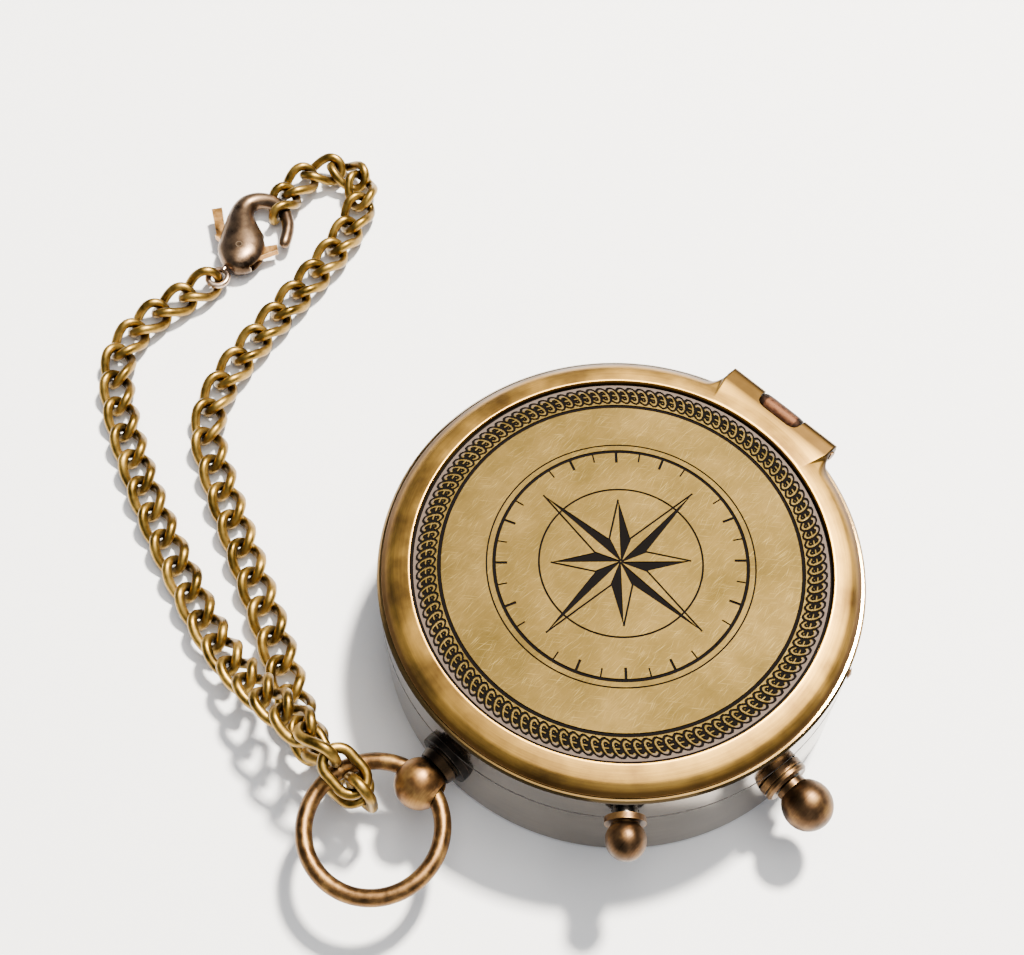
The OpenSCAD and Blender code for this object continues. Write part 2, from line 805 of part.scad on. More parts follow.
module clasp_place() {
    from_ring() translate([clasp_x, clasp_y, clasp_z]) rotate([0, 0, clasp_turn]) children();
}

module blob(p) {
    translate([p[0], -p[1], 0]) scale([1, 1, min(1, clasp_t / 2 / p[2])])
        sphere(r = p[2], $fn = spine_fn);
}

module clasp_body() {
    color(bronze) clasp_place() difference() {
        union() {
            hull() for (k = [0 : 2]) blob(spine[k]);
            for (k = [2 : len(spine) - 2]) hull() {
                blob(spine[k]);
                blob(spine[k + 1]);
            }
        }
        translate([slot_u0, -slot_right, -gate_t / 2 - slot_gap])
            cube([slot_u1 - slot_u0, slot_left + slot_right, gate_t + 2 * slot_gap]);
        translate([slot_u0, -slot_root_right, -gate_t / 2 - slot_gap])
            cube([slot_root_u1 - slot_u0, slot_root_right, gate_t + 2 * slot_gap]);
        translate([pivot_u, -pivot_v, -clasp_t / 2]) cylinder(h = clasp_t, r = rivet_r + seat_gap);
        rod(0, eye_stem_l + gap, eye_stem_r + run_gap);
    }
}

// Gate plate and thumb lever, one flat piece that turns on the rivet
module clasp_gate() {
    color(tan_metal) clasp_place() translate([pivot_u, -pivot_v, -gate_t / 2]) difference() {
        union() {
            cylinder(h = gate_t, r = gate_boss_r);
            rotate([0, 0, -gate_turn]) linear_extrude(gate_t) polygon([
                [0, gate_lip], [gate_l, gate_lip], [gate_l, -gate_tip_w], [0, -gate_root_w]
            ]);
            rotate([0, 0, thumb_turn]) {
                translate([0, -thumb_w / 2, 0]) cube([thumb_l, thumb_w, gate_t]);
                translate([thumb_l - thumb_w / 2, 0, 0]) rotate([0, 0, -thumb_bend])
                    linear_extrude(gate_t) polygon([
                        [0, -thumb_w / 2], [thumb_tab_l, -thumb_tab_w / 2],
                        [thumb_tab_l, thumb_tab_w / 2], [0, thumb_w / 2]
                    ]);
            }
        }
        translate([0, 0, -over]) cylinder(h = gate_t + 2 * over, r = rivet_r + run_gap);
    }
}

module clasp_rivet() {
    color(bronze) clasp_place() translate([pivot_u, -pivot_v, -clasp_t / 2 + gap])
        cylinder(h = clasp_t - 2 * gap, r = rivet_r);
}

module clasp_eye() {
    color(pale_metal) clasp_place() {
        torus(eye_r, eye_wire_r);
        rod(eye_r, eye_stem_l, eye_stem_r);
    }
}

case_cup();
upper_ring();
rim_stud();
pivot_post();
pivot_pin();
dial_spacer();
dial();
dial_screws();
dial_surround();
crystal();
crystal_ring();
needle();
needle_hub();
needle_lifter();
lock_bush();
lock_shaft();
lock_knob();
catch_button();
catch_spring();
pendant_nut();
pendant_stem();
bow_ring();
hinge_pin();
lid_shell();
lid_plate();
lid_tongue();
chain_hitch();
chain_ring_end();
chain_clasp_end();
chain_long_end();
clasp_body();
clasp_gate();
clasp_rivet();
clasp_eye();
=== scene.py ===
import math

import bmesh
import bpy
import numpy as np
from bpy.props import FloatProperty, FloatVectorProperty, IntProperty, PointerProperty
from mathutils import Matrix, Vector
from mathutils.geometry import delaunay_2d_cdt


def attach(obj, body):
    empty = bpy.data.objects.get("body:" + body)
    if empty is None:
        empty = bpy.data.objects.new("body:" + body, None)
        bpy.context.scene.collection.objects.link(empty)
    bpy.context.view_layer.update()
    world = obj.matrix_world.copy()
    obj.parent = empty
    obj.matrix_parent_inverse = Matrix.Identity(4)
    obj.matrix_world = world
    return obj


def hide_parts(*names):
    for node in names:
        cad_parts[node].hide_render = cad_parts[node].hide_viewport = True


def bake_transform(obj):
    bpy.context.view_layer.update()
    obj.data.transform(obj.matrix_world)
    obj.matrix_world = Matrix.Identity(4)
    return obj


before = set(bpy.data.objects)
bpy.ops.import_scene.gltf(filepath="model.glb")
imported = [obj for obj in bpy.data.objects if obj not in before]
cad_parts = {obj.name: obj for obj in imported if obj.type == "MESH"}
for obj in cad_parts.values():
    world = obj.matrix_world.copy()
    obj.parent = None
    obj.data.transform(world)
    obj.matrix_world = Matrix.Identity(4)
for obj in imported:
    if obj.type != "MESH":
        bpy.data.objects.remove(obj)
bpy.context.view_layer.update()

bl_info = {
    "name": "Pocket compass",
    "version": (1, 0, 0),
    "blender": (4, 5, 0),
    "location": "View3D > Sidebar > Compass",
    "description": "Dresses a brass pocket compass with its engraved lid, curb chain and clasp",
    "category": "Object",
}

MM = 0.001


def linear(code):
    """Turns an sRGB hex colour into linear red, green, blue and alpha, and leaves other values."""
    if not isinstance(code, str):
        return code
    parts = [int(code[i:i + 2], 16) / 255 for i in (1, 3, 5)]
    return [c / 12.92 if c <= 0.04045 else ((c + 0.055) / 1.055) ** 2.4 for c in parts] + [1.0]


def colour(code, name, description):
    """Gives a colour property whose default is an sRGB hex colour."""
    return FloatVectorProperty(name=name, description=description, subtype="COLOR", size=4,
                               min=0.0, max=1.0, default=linear(code))


def length(value, name, description):
    """Gives a length property in metres from a default in millimetres."""
    return FloatProperty(name=name, description=description, unit="LENGTH", precision=5,
                         min=0.0, default=value * MM)


# Sizes and colours that a user would change

class StageSettings(bpy.types.PropertyGroup):
    floor: colour("#F4F4F5", "Floor", "Colour of the pale floor under the compass")
    sky: colour("#98A2B2", "Room light", "Colour of the soft light from all round")
    sky_level: FloatProperty(name="Room level", description="Strength of the light from all round",
                             min=0.0, default=0.5)
    key_level: FloatProperty(name="Key level", description="Power of the soft key light in watts",
                             min=0.0, default=46.0)
    key_size: length(90, "Key size", "Side of the soft key light")


class LidSettings(bpy.types.PropertyGroup):
    brass: colour("#A17B39", "Rim brass", "Bright satin brass of the lid's sloping band")
    shade: colour("#856233", "Rim shade", "Browner brass where the band is tarnished")
    # Painted shade laid on the outer bevel below the rim's shoulder
    edge: colour("#4A3218", "Edge brown", "Dark brown gold of the lid's outer bevel")
    plate: colour("#483A1B", "Plate brass", "Olive gold of the brushed plate")
    patina: colour("#4F443E", "Band patina", "Purple grey band just inside the rim")
    black: colour("#0B0908", "Engraving black", "Black that fills the engraved lines")
    links: IntProperty(name="Rope links", description="Links of the engraved rope ring",
                       min=24, default=120)
    depth: length(0.16, "Engraving depth", "Depth of the engraved lines")


class CaseSettings(bpy.types.PropertyGroup):
    wall: colour("#6A5C4B", "Case wall", "Warm silvery nickel of the polished wall")
    bronze: colour("#523C28", "Bronze", "Brown bronze of the knobs and the pendant")
    bronze_wear: colour("#765934", "Bronze wear", "Golden bronze where the knobs are rubbed")
    dial: colour("#C6C1B2", "Dial", "Silvered face of the dial")


class ChainSettings(bpy.types.PropertyGroup):
    wire: length(1.36, "Wire", "Thickness of the chain's wire")
    brass: colour("#83672E", "Chain brass", "Golden antique brass of the links")
    clasp: colour("#64503E", "Clasp bronze", "Grey brown bronze of the clasp's body")


class CompassSettings(bpy.types.PropertyGroup):
    stage: PointerProperty(type=StageSettings)
    lid: PointerProperty(type=LidSettings)
    case: PointerProperty(type=CaseSettings)
    chain: PointerProperty(type=ChainSettings)


# Mesh helpers

def put(name, data):
    """Puts an object in the scene."""
    made = bpy.data.objects.new(name, data)
    bpy.context.scene.collection.objects.link(made)
    return made


def mesh_piece(name, points, faces, material, body, stands_for=(), slot=None, crease=35.0):
    """Makes one piece from points in millimetres and puts it on its body."""
    mesh = bpy.data.meshes.new(name)
    mesh.from_pydata([tuple(c * MM for c in p) for p in points], [], faces)
    mesh.materials.append(material)
    shaped = bmesh.new()
    shaped.from_mesh(mesh)
    bmesh.ops.recalc_face_normals(shaped, faces=shaped.faces)
    for face in shaped.faces:
        face.smooth = True
    for edge in shaped.edges:
        edge.smooth = edge.calc_face_angle(0.0) < math.radians(crease)
    shaped.to_mesh(mesh)
    shaped.free()
    made = put(name, mesh)
    if body:
        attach(made, body)
    if stands_for:
        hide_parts(*stands_for)
    return made


def ring_faces(rings, around, closed_path):
    """Gives the quads that join one ring of points to the next, and an open path's end caps."""
    faces = []
    for i in range(rings if closed_path else rings - 1):
        a, b = i * around, (i + 1) % rings * around
        for j in range(around):
            k = (j + 1) % around
            faces.append((a + j, a + k, b + k, b + j))
    if not closed_path:
        top = (rings - 1) * around
        faces += [tuple(range(around)), tuple(range(top, top + around))]
    return faces


def polar(r, angle):
    """Gives a flat point at a distance and in a direction from the middle."""
    return r * math.cos(angle), r * math.sin(angle)


def lathe(profile, around, origin=(0, 0, 0), axis=(0, 0, 1), hollow=False):
    """Turns a profile of (radius, height) points about an axis, as a plug or as a hollow ring."""
    turn = Vector(axis).normalized().to_track_quat("Z", "Y").to_matrix()
    base = Vector(origin)
    points = []
    for radius, height in profile:
        for k in range(around):
            angle = 2 * math.pi * k / around
            points.append(base + turn @ Vector((*polar(radius, angle), height)))
    return points, ring_faces(len(profile), around, hollow)


def join(parts):
    """Joins lists of points and faces into one."""
    points = []
    faces = []
    for more_points, more_faces in parts:
        first = len(points)
        points.extend(more_points)
        faces.extend(tuple(first + i for i in face) for face in more_faces)
    return points, faces


def box(x, y, z, place=None):
    """Gives a box between two values on each axis, or with its corners put by a function."""
    corners = [(a, b, c) for c in z for a, b in ((x[0], y[0]), (x[1], y[0]), (x[1], y[1]),
                                                 (x[0], y[1]))]
    if place:
        corners = [place(*corner) for corner in corners]
    return corners, [(3, 2, 1, 0), (4, 5, 6, 7), (0, 1, 5, 4), (1, 2, 6, 5), (2, 3, 7, 6),
                     (3, 0, 4, 7)]


def carve(piece, solids, crease=40.0):
    """Cuts closed solids, each as points in millimetres and faces, out of a piece."""
    for points, faces in solids:
        cutter = mesh_piece("cutter", points, faces, piece.data.materials[0], None)
        taken = piece.modifiers.new("cut", "BOOLEAN")
        taken.operation, taken.solver, taken.object = "DIFFERENCE", "EXACT", cutter
        bpy.context.view_layer.update()
        depsgraph = bpy.context.evaluated_depsgraph_get()
        mesh = bpy.data.meshes.new_from_object(piece.evaluated_get(depsgraph))
        piece.modifiers.clear()
        piece.data = mesh
        mesh.set_sharp_from_angle(angle=math.radians(crease))
        bpy.data.objects.remove(cutter)


def turned(points, angle):
    """Turns flat points about the origin by an angle in radians."""
    c, s = math.cos(angle), math.sin(angle)
    return [(x * c - y * s, x * s + y * c) for x, y in points]


def stroke(a, b, width):
    """Gives a straight flat line from a to b as a four-cornered figure."""
    a, b = Vector(a), Vector(b)
    along = (b - a).normalized() * width / 2
    side = Vector((-along.y, along.x))
    return [tuple(corner) for corner in (a + side, a - side, b - side, b + side)]


def flat_ring(inner, outer):
    """Gives a flat ring as short four-cornered figures."""
    steps = 144
    figures = []
    for k in range(steps):
        a, b = (2 * math.pi * n / steps for n in (k, k + 1))
        figures.append([polar(*p) for p in ((inner, a), (outer, a), (outer, b), (inner, b))])
    return figures


def compass_star(long_point, short_point, waist, line, hole=0.05):
    """Gives an eight-pointed star, each point half filled and half outlined."""
    figures = []
    for k in range(8):
        tip = (long_point if k % 2 == 0 else short_point, 0.0)
        root = polar(waist, math.pi / 8)
        parts = [[(hole, 0.0), polar(waist, -math.pi / 8), tip], stroke(root, tip, line),
                 stroke(polar(hole, math.pi / 8), root, line)]
        figures += [turned(part, k * math.pi / 4) for part in parts]
    return figures


def layered(figures, high, low, rim=()):
    """Sinks figures from a level face with a rim, or without a rim stands them up as solids."""
    # The rim and the overlapping figures split the plane into cells that don't overlap
    corners = list(rim)
    outlines = []
    for figure in figures:
        area = sum(a[0] * b[1] - b[0] * a[1] for a, b in zip(figure, figure[1:] + figure[:1]))
        first = len(corners)
        corners.extend(figure if area > 0 else figure[::-1])
        outlines.append(list(range(first, len(corners))))
    edges = [(k, (k + 1) % len(rim)) for k in range(len(rim))]
    spots, _, cells, sources, _, owners = delaunay_2d_cdt(
        [Vector(c) for c in corners], edges, outlines, 0, 1e-5)
    place = {}
    points = []

    def corner(spot, level):
        if (spot, level) not in place:
            place[spot, level] = len(points)
            points.append((*spots[spot], level))
        return place[spot, level]

    inside = set()
    for cell, mark in zip(cells, owners):
        if mark:
            inside.update(zip(cell, cell[1:] + cell[:1]))
    faces = []
    for cell, mark in zip(cells, owners):
        if rim:
            faces.append(tuple(corner(n, low if mark else high) for n in cell))
        elif mark:
            faces.append(tuple(corner(n, high) for n in cell))
            faces.append(tuple(corner(n, low) for n in cell[::-1]))
    for a, b in inside:
        if (b, a) not in inside:
            faces.append((corner(a, low), corner(b, low), corner(b, high), corner(a, high)))
    origin = {n: k for k, found in enumerate(sources) for n in found}
    return points, faces, [corner(origin[k], high) for k in range(len(rim))]


# Material helpers

# Dark brown laid into recesses found by ambient occlusion: grime and painted shade
GRIME_AND_SHADE = "#1A110A"


def plug(tree, node, links):
    """Links sockets, or the first outputs of nodes, to a node's inputs."""
    for key, source in links.items():
        tree.links.new(getattr(source, "outputs", [source])[0], node.inputs[key])


def add(tree, kind, settings=None, links=None):
    """Adds a shader node, sets its properties and sockets, and links its inputs."""
    made = tree.nodes.new("ShaderNode" + kind)
    for key, value in (settings or {}).items():
        if key == "stops":
            ramp = made.color_ramp
            while len(ramp.elements) < len(value):
                ramp.elements.new(0.5)
            for element, (place, tone) in zip(ramp.elements, value):
                element.position = place
                element.color = linear(tone)
        elif isinstance(key, str) and hasattr(made, key):
            setattr(made, key, value)
        else:
            made.inputs[key].default_value = linear(value)
    plug(tree, made, links or {})
    return made


def new_material(name):
    """Starts a material and gives its tree, its shader and its coordinates in millimetres."""
    material = bpy.data.materials.new(name)
    material.use_nodes = True
    tree = material.node_tree
    tree.nodes.clear()
    shader = add(tree, "BsdfPrincipled")
    add(tree, "OutputMaterial", None, {0: shader})
    place = add(tree, "TexCoord")
    in_mm = add(tree, "VectorMath", {"operation": "SCALE", "Scale": 1000.0},
                {0: place.outputs["Object"]})
    return material, tree, shader, in_mm.outputs[0]


def from_axis(tree, place):
    """Gives the distance of a place from the upright axis through the middle."""
    flat = add(tree, "VectorMath", {"operation": "MULTIPLY", 1: (1, 1, 0)}, {0: place})
    return add(tree, "VectorMath", {"operation": "LENGTH"}, {0: flat}).outputs["Value"]


def turned_marks(tree, place, across, along):
    """Gives coordinates whose noise runs in rings about the upright axis."""
    split = add(tree, "SeparateXYZ", None, {0: place})
    angle = add(tree, "Math", {"operation": "ARCTAN2"},
                {0: split.outputs["Y"], 1: split.outputs["X"]})
    near = add(tree, "Math", {"operation": "MULTIPLY", 1: across}, {0: from_axis(tree, place)})
    far = add(tree, "Math", {"operation": "MULTIPLY", 1: along}, {0: angle})
    high = add(tree, "Math", {"operation": "MULTIPLY", 1: across}, {0: split.outputs["Z"]})
    return add(tree, "CombineXYZ", None, {"X": near, "Y": far, "Z": high})


def mottled(name, scale, detail, stops, rough):
    """Makes a dull material whose colour wanders between two tones."""
    material, tree, shader, place = new_material(name)
    drift = add(tree, "TexNoise", {"Scale": scale, "Detail": detail}, {"Vector": place})
    tone = add(tree, "ValToRGB", {"stops": stops}, {0: drift})
    plug(tree, shader, {"Base Color": tone})
    shader.inputs["Roughness"].default_value = rough
    return material


def tint(tree, base, tone, value, low, high, share=1.0):
    """Lays a tone over a colour as a value runs from low to high; gives the colour and the mask."""
    mask = add(tree, "MapRange", {"From Min": low, "From Max": high, "To Max": share}, {0: value})
    mixed = add(tree, "Mix", {"data_type": "RGBA", 7: tone}, {0: mask, 6: base})
    return mixed.outputs[2], mask


def metal(name, light, mid, dark, rough, blotch_mm, grain_mm, bump_mm, recess, recess_mm,
          wear=None, wear_mm=0.0, marks=None):
    """Makes an aged metal: blotched tarnish, fine grain, recesses darkened with painted shade and
    grime, and rubbed edges.
    """
    material, tree, shader, place = new_material(name)
    blotch = add(tree, "TexNoise", {"Scale": 1 / blotch_mm, "Detail": 6.0, "Roughness": 0.6},
                 {"Vector": place})
    tone = add(tree, "ValToRGB", {"stops": [(0.32, dark), (0.5, mid), (0.68, light)]}, {0: blotch})
    grain = add(tree, "TexNoise", {"Scale": 1.0 if marks else 1 / grain_mm, "Detail": 3.0},
                {"Vector": marks(tree, place) if marks else place})
    base = add(tree, "Mix", {"data_type": "RGBA", "blend_type": "OVERLAY", 0: 0.35},
               {6: tone, 7: grain}).outputs[2]
    if wear:
        soft = add(tree, "Bevel", {"samples": 6, "Radius": wear_mm * MM})
        flat = add(tree, "NewGeometry")
        level = add(tree, "VectorMath", {"operation": "DOT_PRODUCT"},
                    {0: soft, 1: flat.outputs["Normal"]})
        base, _ = tint(tree, base, wear, level.outputs["Value"], 0.995, 0.90)
    # Painted shade: the colour darkens where ambient occlusion finds nearby surfaces, for shade and
    # grime in recesses
    hollow = add(tree, "AmbientOcclusion", {"samples": 8, "Distance": recess_mm * MM})
    base, _ = tint(tree, base, GRIME_AND_SHADE, hollow.outputs["AO"], 0.75, 0.25, recess)
    sheen = add(tree, "MapRange", {"From Min": 0.3, "From Max": 0.7, "To Min": rough * 0.75,
                                   "To Max": min(1.0, rough * 1.35)}, {0: blotch})
    bump = add(tree, "Bump", {"Strength": 1.0, "Distance": bump_mm * MM}, {"Height": grain})
    plug(tree, shader, {"Base Color": base, "Roughness": sheen, "Normal": bump})
    shader.inputs["Metallic"].default_value = 1.0
    return material


def band(material, tone, low, high, share, axis="Z"):
    """Changes a material's colour where it lies beyond two places along an axis, in mm."""
    tree = material.node_tree
    shader = tree.nodes["Principled BSDF"]
    base = shader.inputs["Base Color"].links[0].from_socket
    place = add(tree, "TexCoord")
    split = add(tree, "SeparateXYZ", None, {0: place.outputs["Object"]})
    mixed, _ = tint(tree, base, tone, split.outputs[axis], low * MM, high * MM, share)
    plug(tree, shader, {"Base Color": mixed})


def finish_nodes(material, *names):
    """Gives carried-over CAD nodes their material."""
    for name in names:
        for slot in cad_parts[name].material_slots:
            slot.material = material


# Stage: floor, lights and camera

LENS, SHIFT = 57.8, (0.01832, -0.04396)
# The camera's place in mm, and its own right, up and back
CAMERA_AT = (53.709, -71.793, 200.518)
CAMERA_AXES = ((0.70760587, 0.70642682, -0.01597105), (-0.60246369, 0.61497161, 0.5087705),
               (0.36923087, -0.35038701, 0.86075403))
FLOOR_HALF = 1500.0
# The top lamp's power as a share of the key's
TOP_SHARE = 0.13


class COMPASS_OT_stage(bpy.types.Operator):
    """Adds the camera, the pale floor and the soft lights"""
    bl_idname = "compass.stage"
    bl_label = "Stage"

    def execute(self, context):
        settings = context.scene.compass.stage
        scene = context.scene

        view = bpy.data.cameras.new("camera")
        view.sensor_width = 36.0
        view.lens = LENS
        view.shift_x, view.shift_y = SHIFT
        view.clip_start = 0.01
        view.clip_end = 10.0
        camera = put("camera", view)
        turn = Matrix(CAMERA_AXES).transposed().to_4x4()
        camera.matrix_world = Matrix.Translation(Vector(CAMERA_AT) * MM) @ turn
        scene.camera = camera

        # Matt painted board: pale and even, so that only the shadows show on it
        faint = [c * 0.97 for c in settings.floor[:3]] + [1]
        paint = mottled("Matt painted board", 0.4, 4.0, [(0.0, faint), (1.0, settings.floor)], 0.85)
        corners = box((-FLOOR_HALF, FLOOR_HALF), (-FLOOR_HALF, FLOOR_HALF), (0,))[0]
        floor = mesh_piece("floor", corners, [(0, 1, 2, 3)], paint, None)

        # Room: pale light low down, dimmer and bluer overhead
        world = bpy.data.worlds.new("room")
        world.use_nodes = True
        tree = world.node_tree
        sky = tree.nodes["Background"]
        ray = add(tree, "TexCoord")
        split = add(tree, "SeparateXYZ", None, {0: ray.outputs["Generated"]})
        height = add(tree, "MapRange", {"From Min": -0.1, "From Max": 0.9}, {0: split.outputs["Z"]})
        dome = add(tree, "ValToRGB", {"stops": [(0.0, "#E6EAF0"), (0.35, "#D0D6DF"),
                                                (0.65, settings.sky)]}, {0: height})
        plug(tree, sky, {"Color": dome})
        sky.inputs["Strength"].default_value = settings.sky_level
        scene.world = world

        # Each lamp's name, place in mm, side in metres, power in watts and colour
        lamps = (("key", (-60, 390, 800), settings.key_size, settings.key_level, "#FFF8EC"),
                 ("top", (150, 60, 820), 0.62, settings.key_level * TOP_SHARE, "#FFFDF8"),
                 ("fill", (560, -420, 420), 0.5, 0.8, "#EEF3FF"))
        for name, place, side, power, hue in lamps:
            light = bpy.data.lights.new(name, "AREA")
            light.size, light.energy = side, power
            light.color = linear(hue)[:3]
            lamp = put(name, light)
            lamp.location = Vector(place) * MM
            lamp.rotation_euler = (-Vector(place)).to_track_quat("-Z", "Y").to_euler()
        return {"FINISHED"}


# Lid: rim and engraved plate

PLATE_R = 25.75
PLATE_Z = (18.3, 19.1)
# The plain disc with the star, the two black circles and the rope ring between them
DISC_R = 21.0
INNER_LINE_R = 22.27
OUTER_LINE_R = 25.48
ROPE_IN_R = 22.6
ROPE_R = 23.9
ROPE_OUT_R = 25.15
# Half a black circle's width, and the width of its sloping side
LINE_HALF, LINE_WALL = 0.2, 0.05
# Where the purple grey band starts and is full, and how strong it is
PATINA = (24.55, 24.85, 0.92)
# Star: long point, short point, waist and line; then circles, and ticks from, to and width
STAR = (13.2, 8.6, 3.4, 0.24)
STAR_CIRCLES = ((9.9, 10.15), (15.3, 15.75), (16.35, 16.55))
STAR_TICKS = ((13.9, 15.4, 0.34), (14.2, 15.4, 0.2))
# Scratches: slant in degrees, shift and strength
SCRATCHES = ((82, 3.1, 0.18), (94, 7.7, 0.18), (38, 12.3, 0.14), (112, 19.1, 0.14))
LID_Z = 18.0
LID_R = 29.4
SEAT_R = 25.8
SEAT_IN_R = 24.4
RIM_Z = 19.7
RIM_CROWN = 0.05
SHOULDER = (28.35, 19.1)
LIP_Z = 18.15
EDGE_SOFT = 0.3
TAB_HALF = 8.5
TAB_EDGE_Y = 31.35
TAB_Z = (19.3, 19.12)
TAB_SLOPE = 5.0
# How far the tab's height falls off past its sides, and over how much of its reach
TAB_DROP = 1.6
TAB_BLEND = 1.7
TAB_FILLET = 3.0
TAB_BEVEL = 0.3
HINGE_Y = 30.25
HINGE_Z = 17.9
# The hinge's centre and its axis
HINGE = ((0, HINGE_Y, HINGE_Z), (1, 0, 0))
NOTCH_HALF = 3.3
NOTCH_R = 1.75
# Rounded end of the notch's cutter: radius, distance from the end
NOTCH_END = [(0.0, 0.0), (0.95, 0.0), (1.32, 0.12), (1.5, 0.35), (1.65, 0.75), (NOTCH_R, 1.3)]
EAR_R, EAR_BEVEL, EAR_BORE_R = 1.2, 0.1, 0.6


def rope_height(along, across, pitch):
    """Gives 0 for the black line and 1 for bare metal on the rope ring, at points in mm."""
    half_w, half_h, lean, bar, line = 0.49, 0.86, 0.42, 0.145, 0.24
    gap = np.radians(48)
    level = np.ones(along.shape)
    for k in range(-2, 3):
        s = along - (np.round(along / pitch) + k) * pitch - lean * across
        # A link is a C that is open to the right, with a short tongue
        grow = np.sqrt((s / half_w) ** 2 + (across / half_h) ** 2) + 1e-6
        angle = np.arctan2(across / half_h, s / half_w)
        size = np.sqrt(s ** 2 + across ** 2) / grow
        d = np.where(np.abs(angle) > gap, np.abs(grow - 1) * size, 9.0)
        for end in (-half_h, half_h):
            d = np.minimum(d, np.hypot(s - half_w * np.cos(gap), across - end * np.sin(gap)))
        tongue = np.hypot(s - np.clip(s, -half_w, 0.12), across - 0.02)
        d = np.minimum(d, tongue + 0.05)
        level = np.where(d < bar + line, 1 - np.clip((d - bar) / (line * 0.25), 0, 1), level)
    return level


def soft_min(a, b, width):
    """Takes the lower of two heights with a rounded change-over."""
    h = np.clip(0.5 + 0.5 * (b - a) / width, 0, 1)
    return b + (a - b) * h - width * h * (1 - h)


def lid_reach(turn):
    """Gives the lid's outline from its centre at an angle from the hinge, in mm."""
    a = abs(math.atan2(math.sin(turn), math.cos(turn)))
    fillet_x = TAB_HALF + TAB_FILLET
    fillet_y = math.sqrt((LID_R + TAB_FILLET) ** 2 - fillet_x ** 2)
    if a < math.atan2(TAB_HALF, TAB_EDGE_Y):
        return TAB_EDGE_Y / math.cos(a)
    if a < math.atan2(TAB_HALF, fillet_y):
        return TAB_HALF / math.sin(a)
    if a < math.atan2(fillet_x, fillet_y):
        near = fillet_x * math.sin(a) + fillet_y * math.cos(a)
        inside = near ** 2 - (LID_R + TAB_FILLET) ** 2 + TAB_FILLET ** 2
        return near - math.sqrt(max(inside, 0.0))
    return LID_R


def lid_top(r, turn, reach, on_tab):
    """Gives the height of the lid's rim and tab, in mm, with every edge rounded."""
    across = (r - SEAT_R) / (SHOULDER[0] - SEAT_R)
    slope = RIM_Z - across * (RIM_Z - SHOULDER[1])
    slope += RIM_CROWN * np.sin(np.pi * np.clip(across, 0, 1))
    fall = np.clip((r * np.cos(turn) - TAB_EDGE_Y + TAB_SLOPE) / TAB_SLOPE, 0, 1)
    tab = TAB_Z[0] - (TAB_Z[0] - TAB_Z[1]) * fall - TAB_DROP * (1 - on_tab)
    top = -soft_min(-slope, -tab, EDGE_SOFT)
    inward = reach - r
    ring_edge = LIP_Z + inward * (SHOULDER[1] - LIP_Z) / (LID_R - SHOULDER[0])
    tab_edge = TAB_Z[1] - TAB_BEVEL + inward
    return soft_min(top, ring_edge + (tab_edge - ring_edge) * on_tab, EDGE_SOFT)


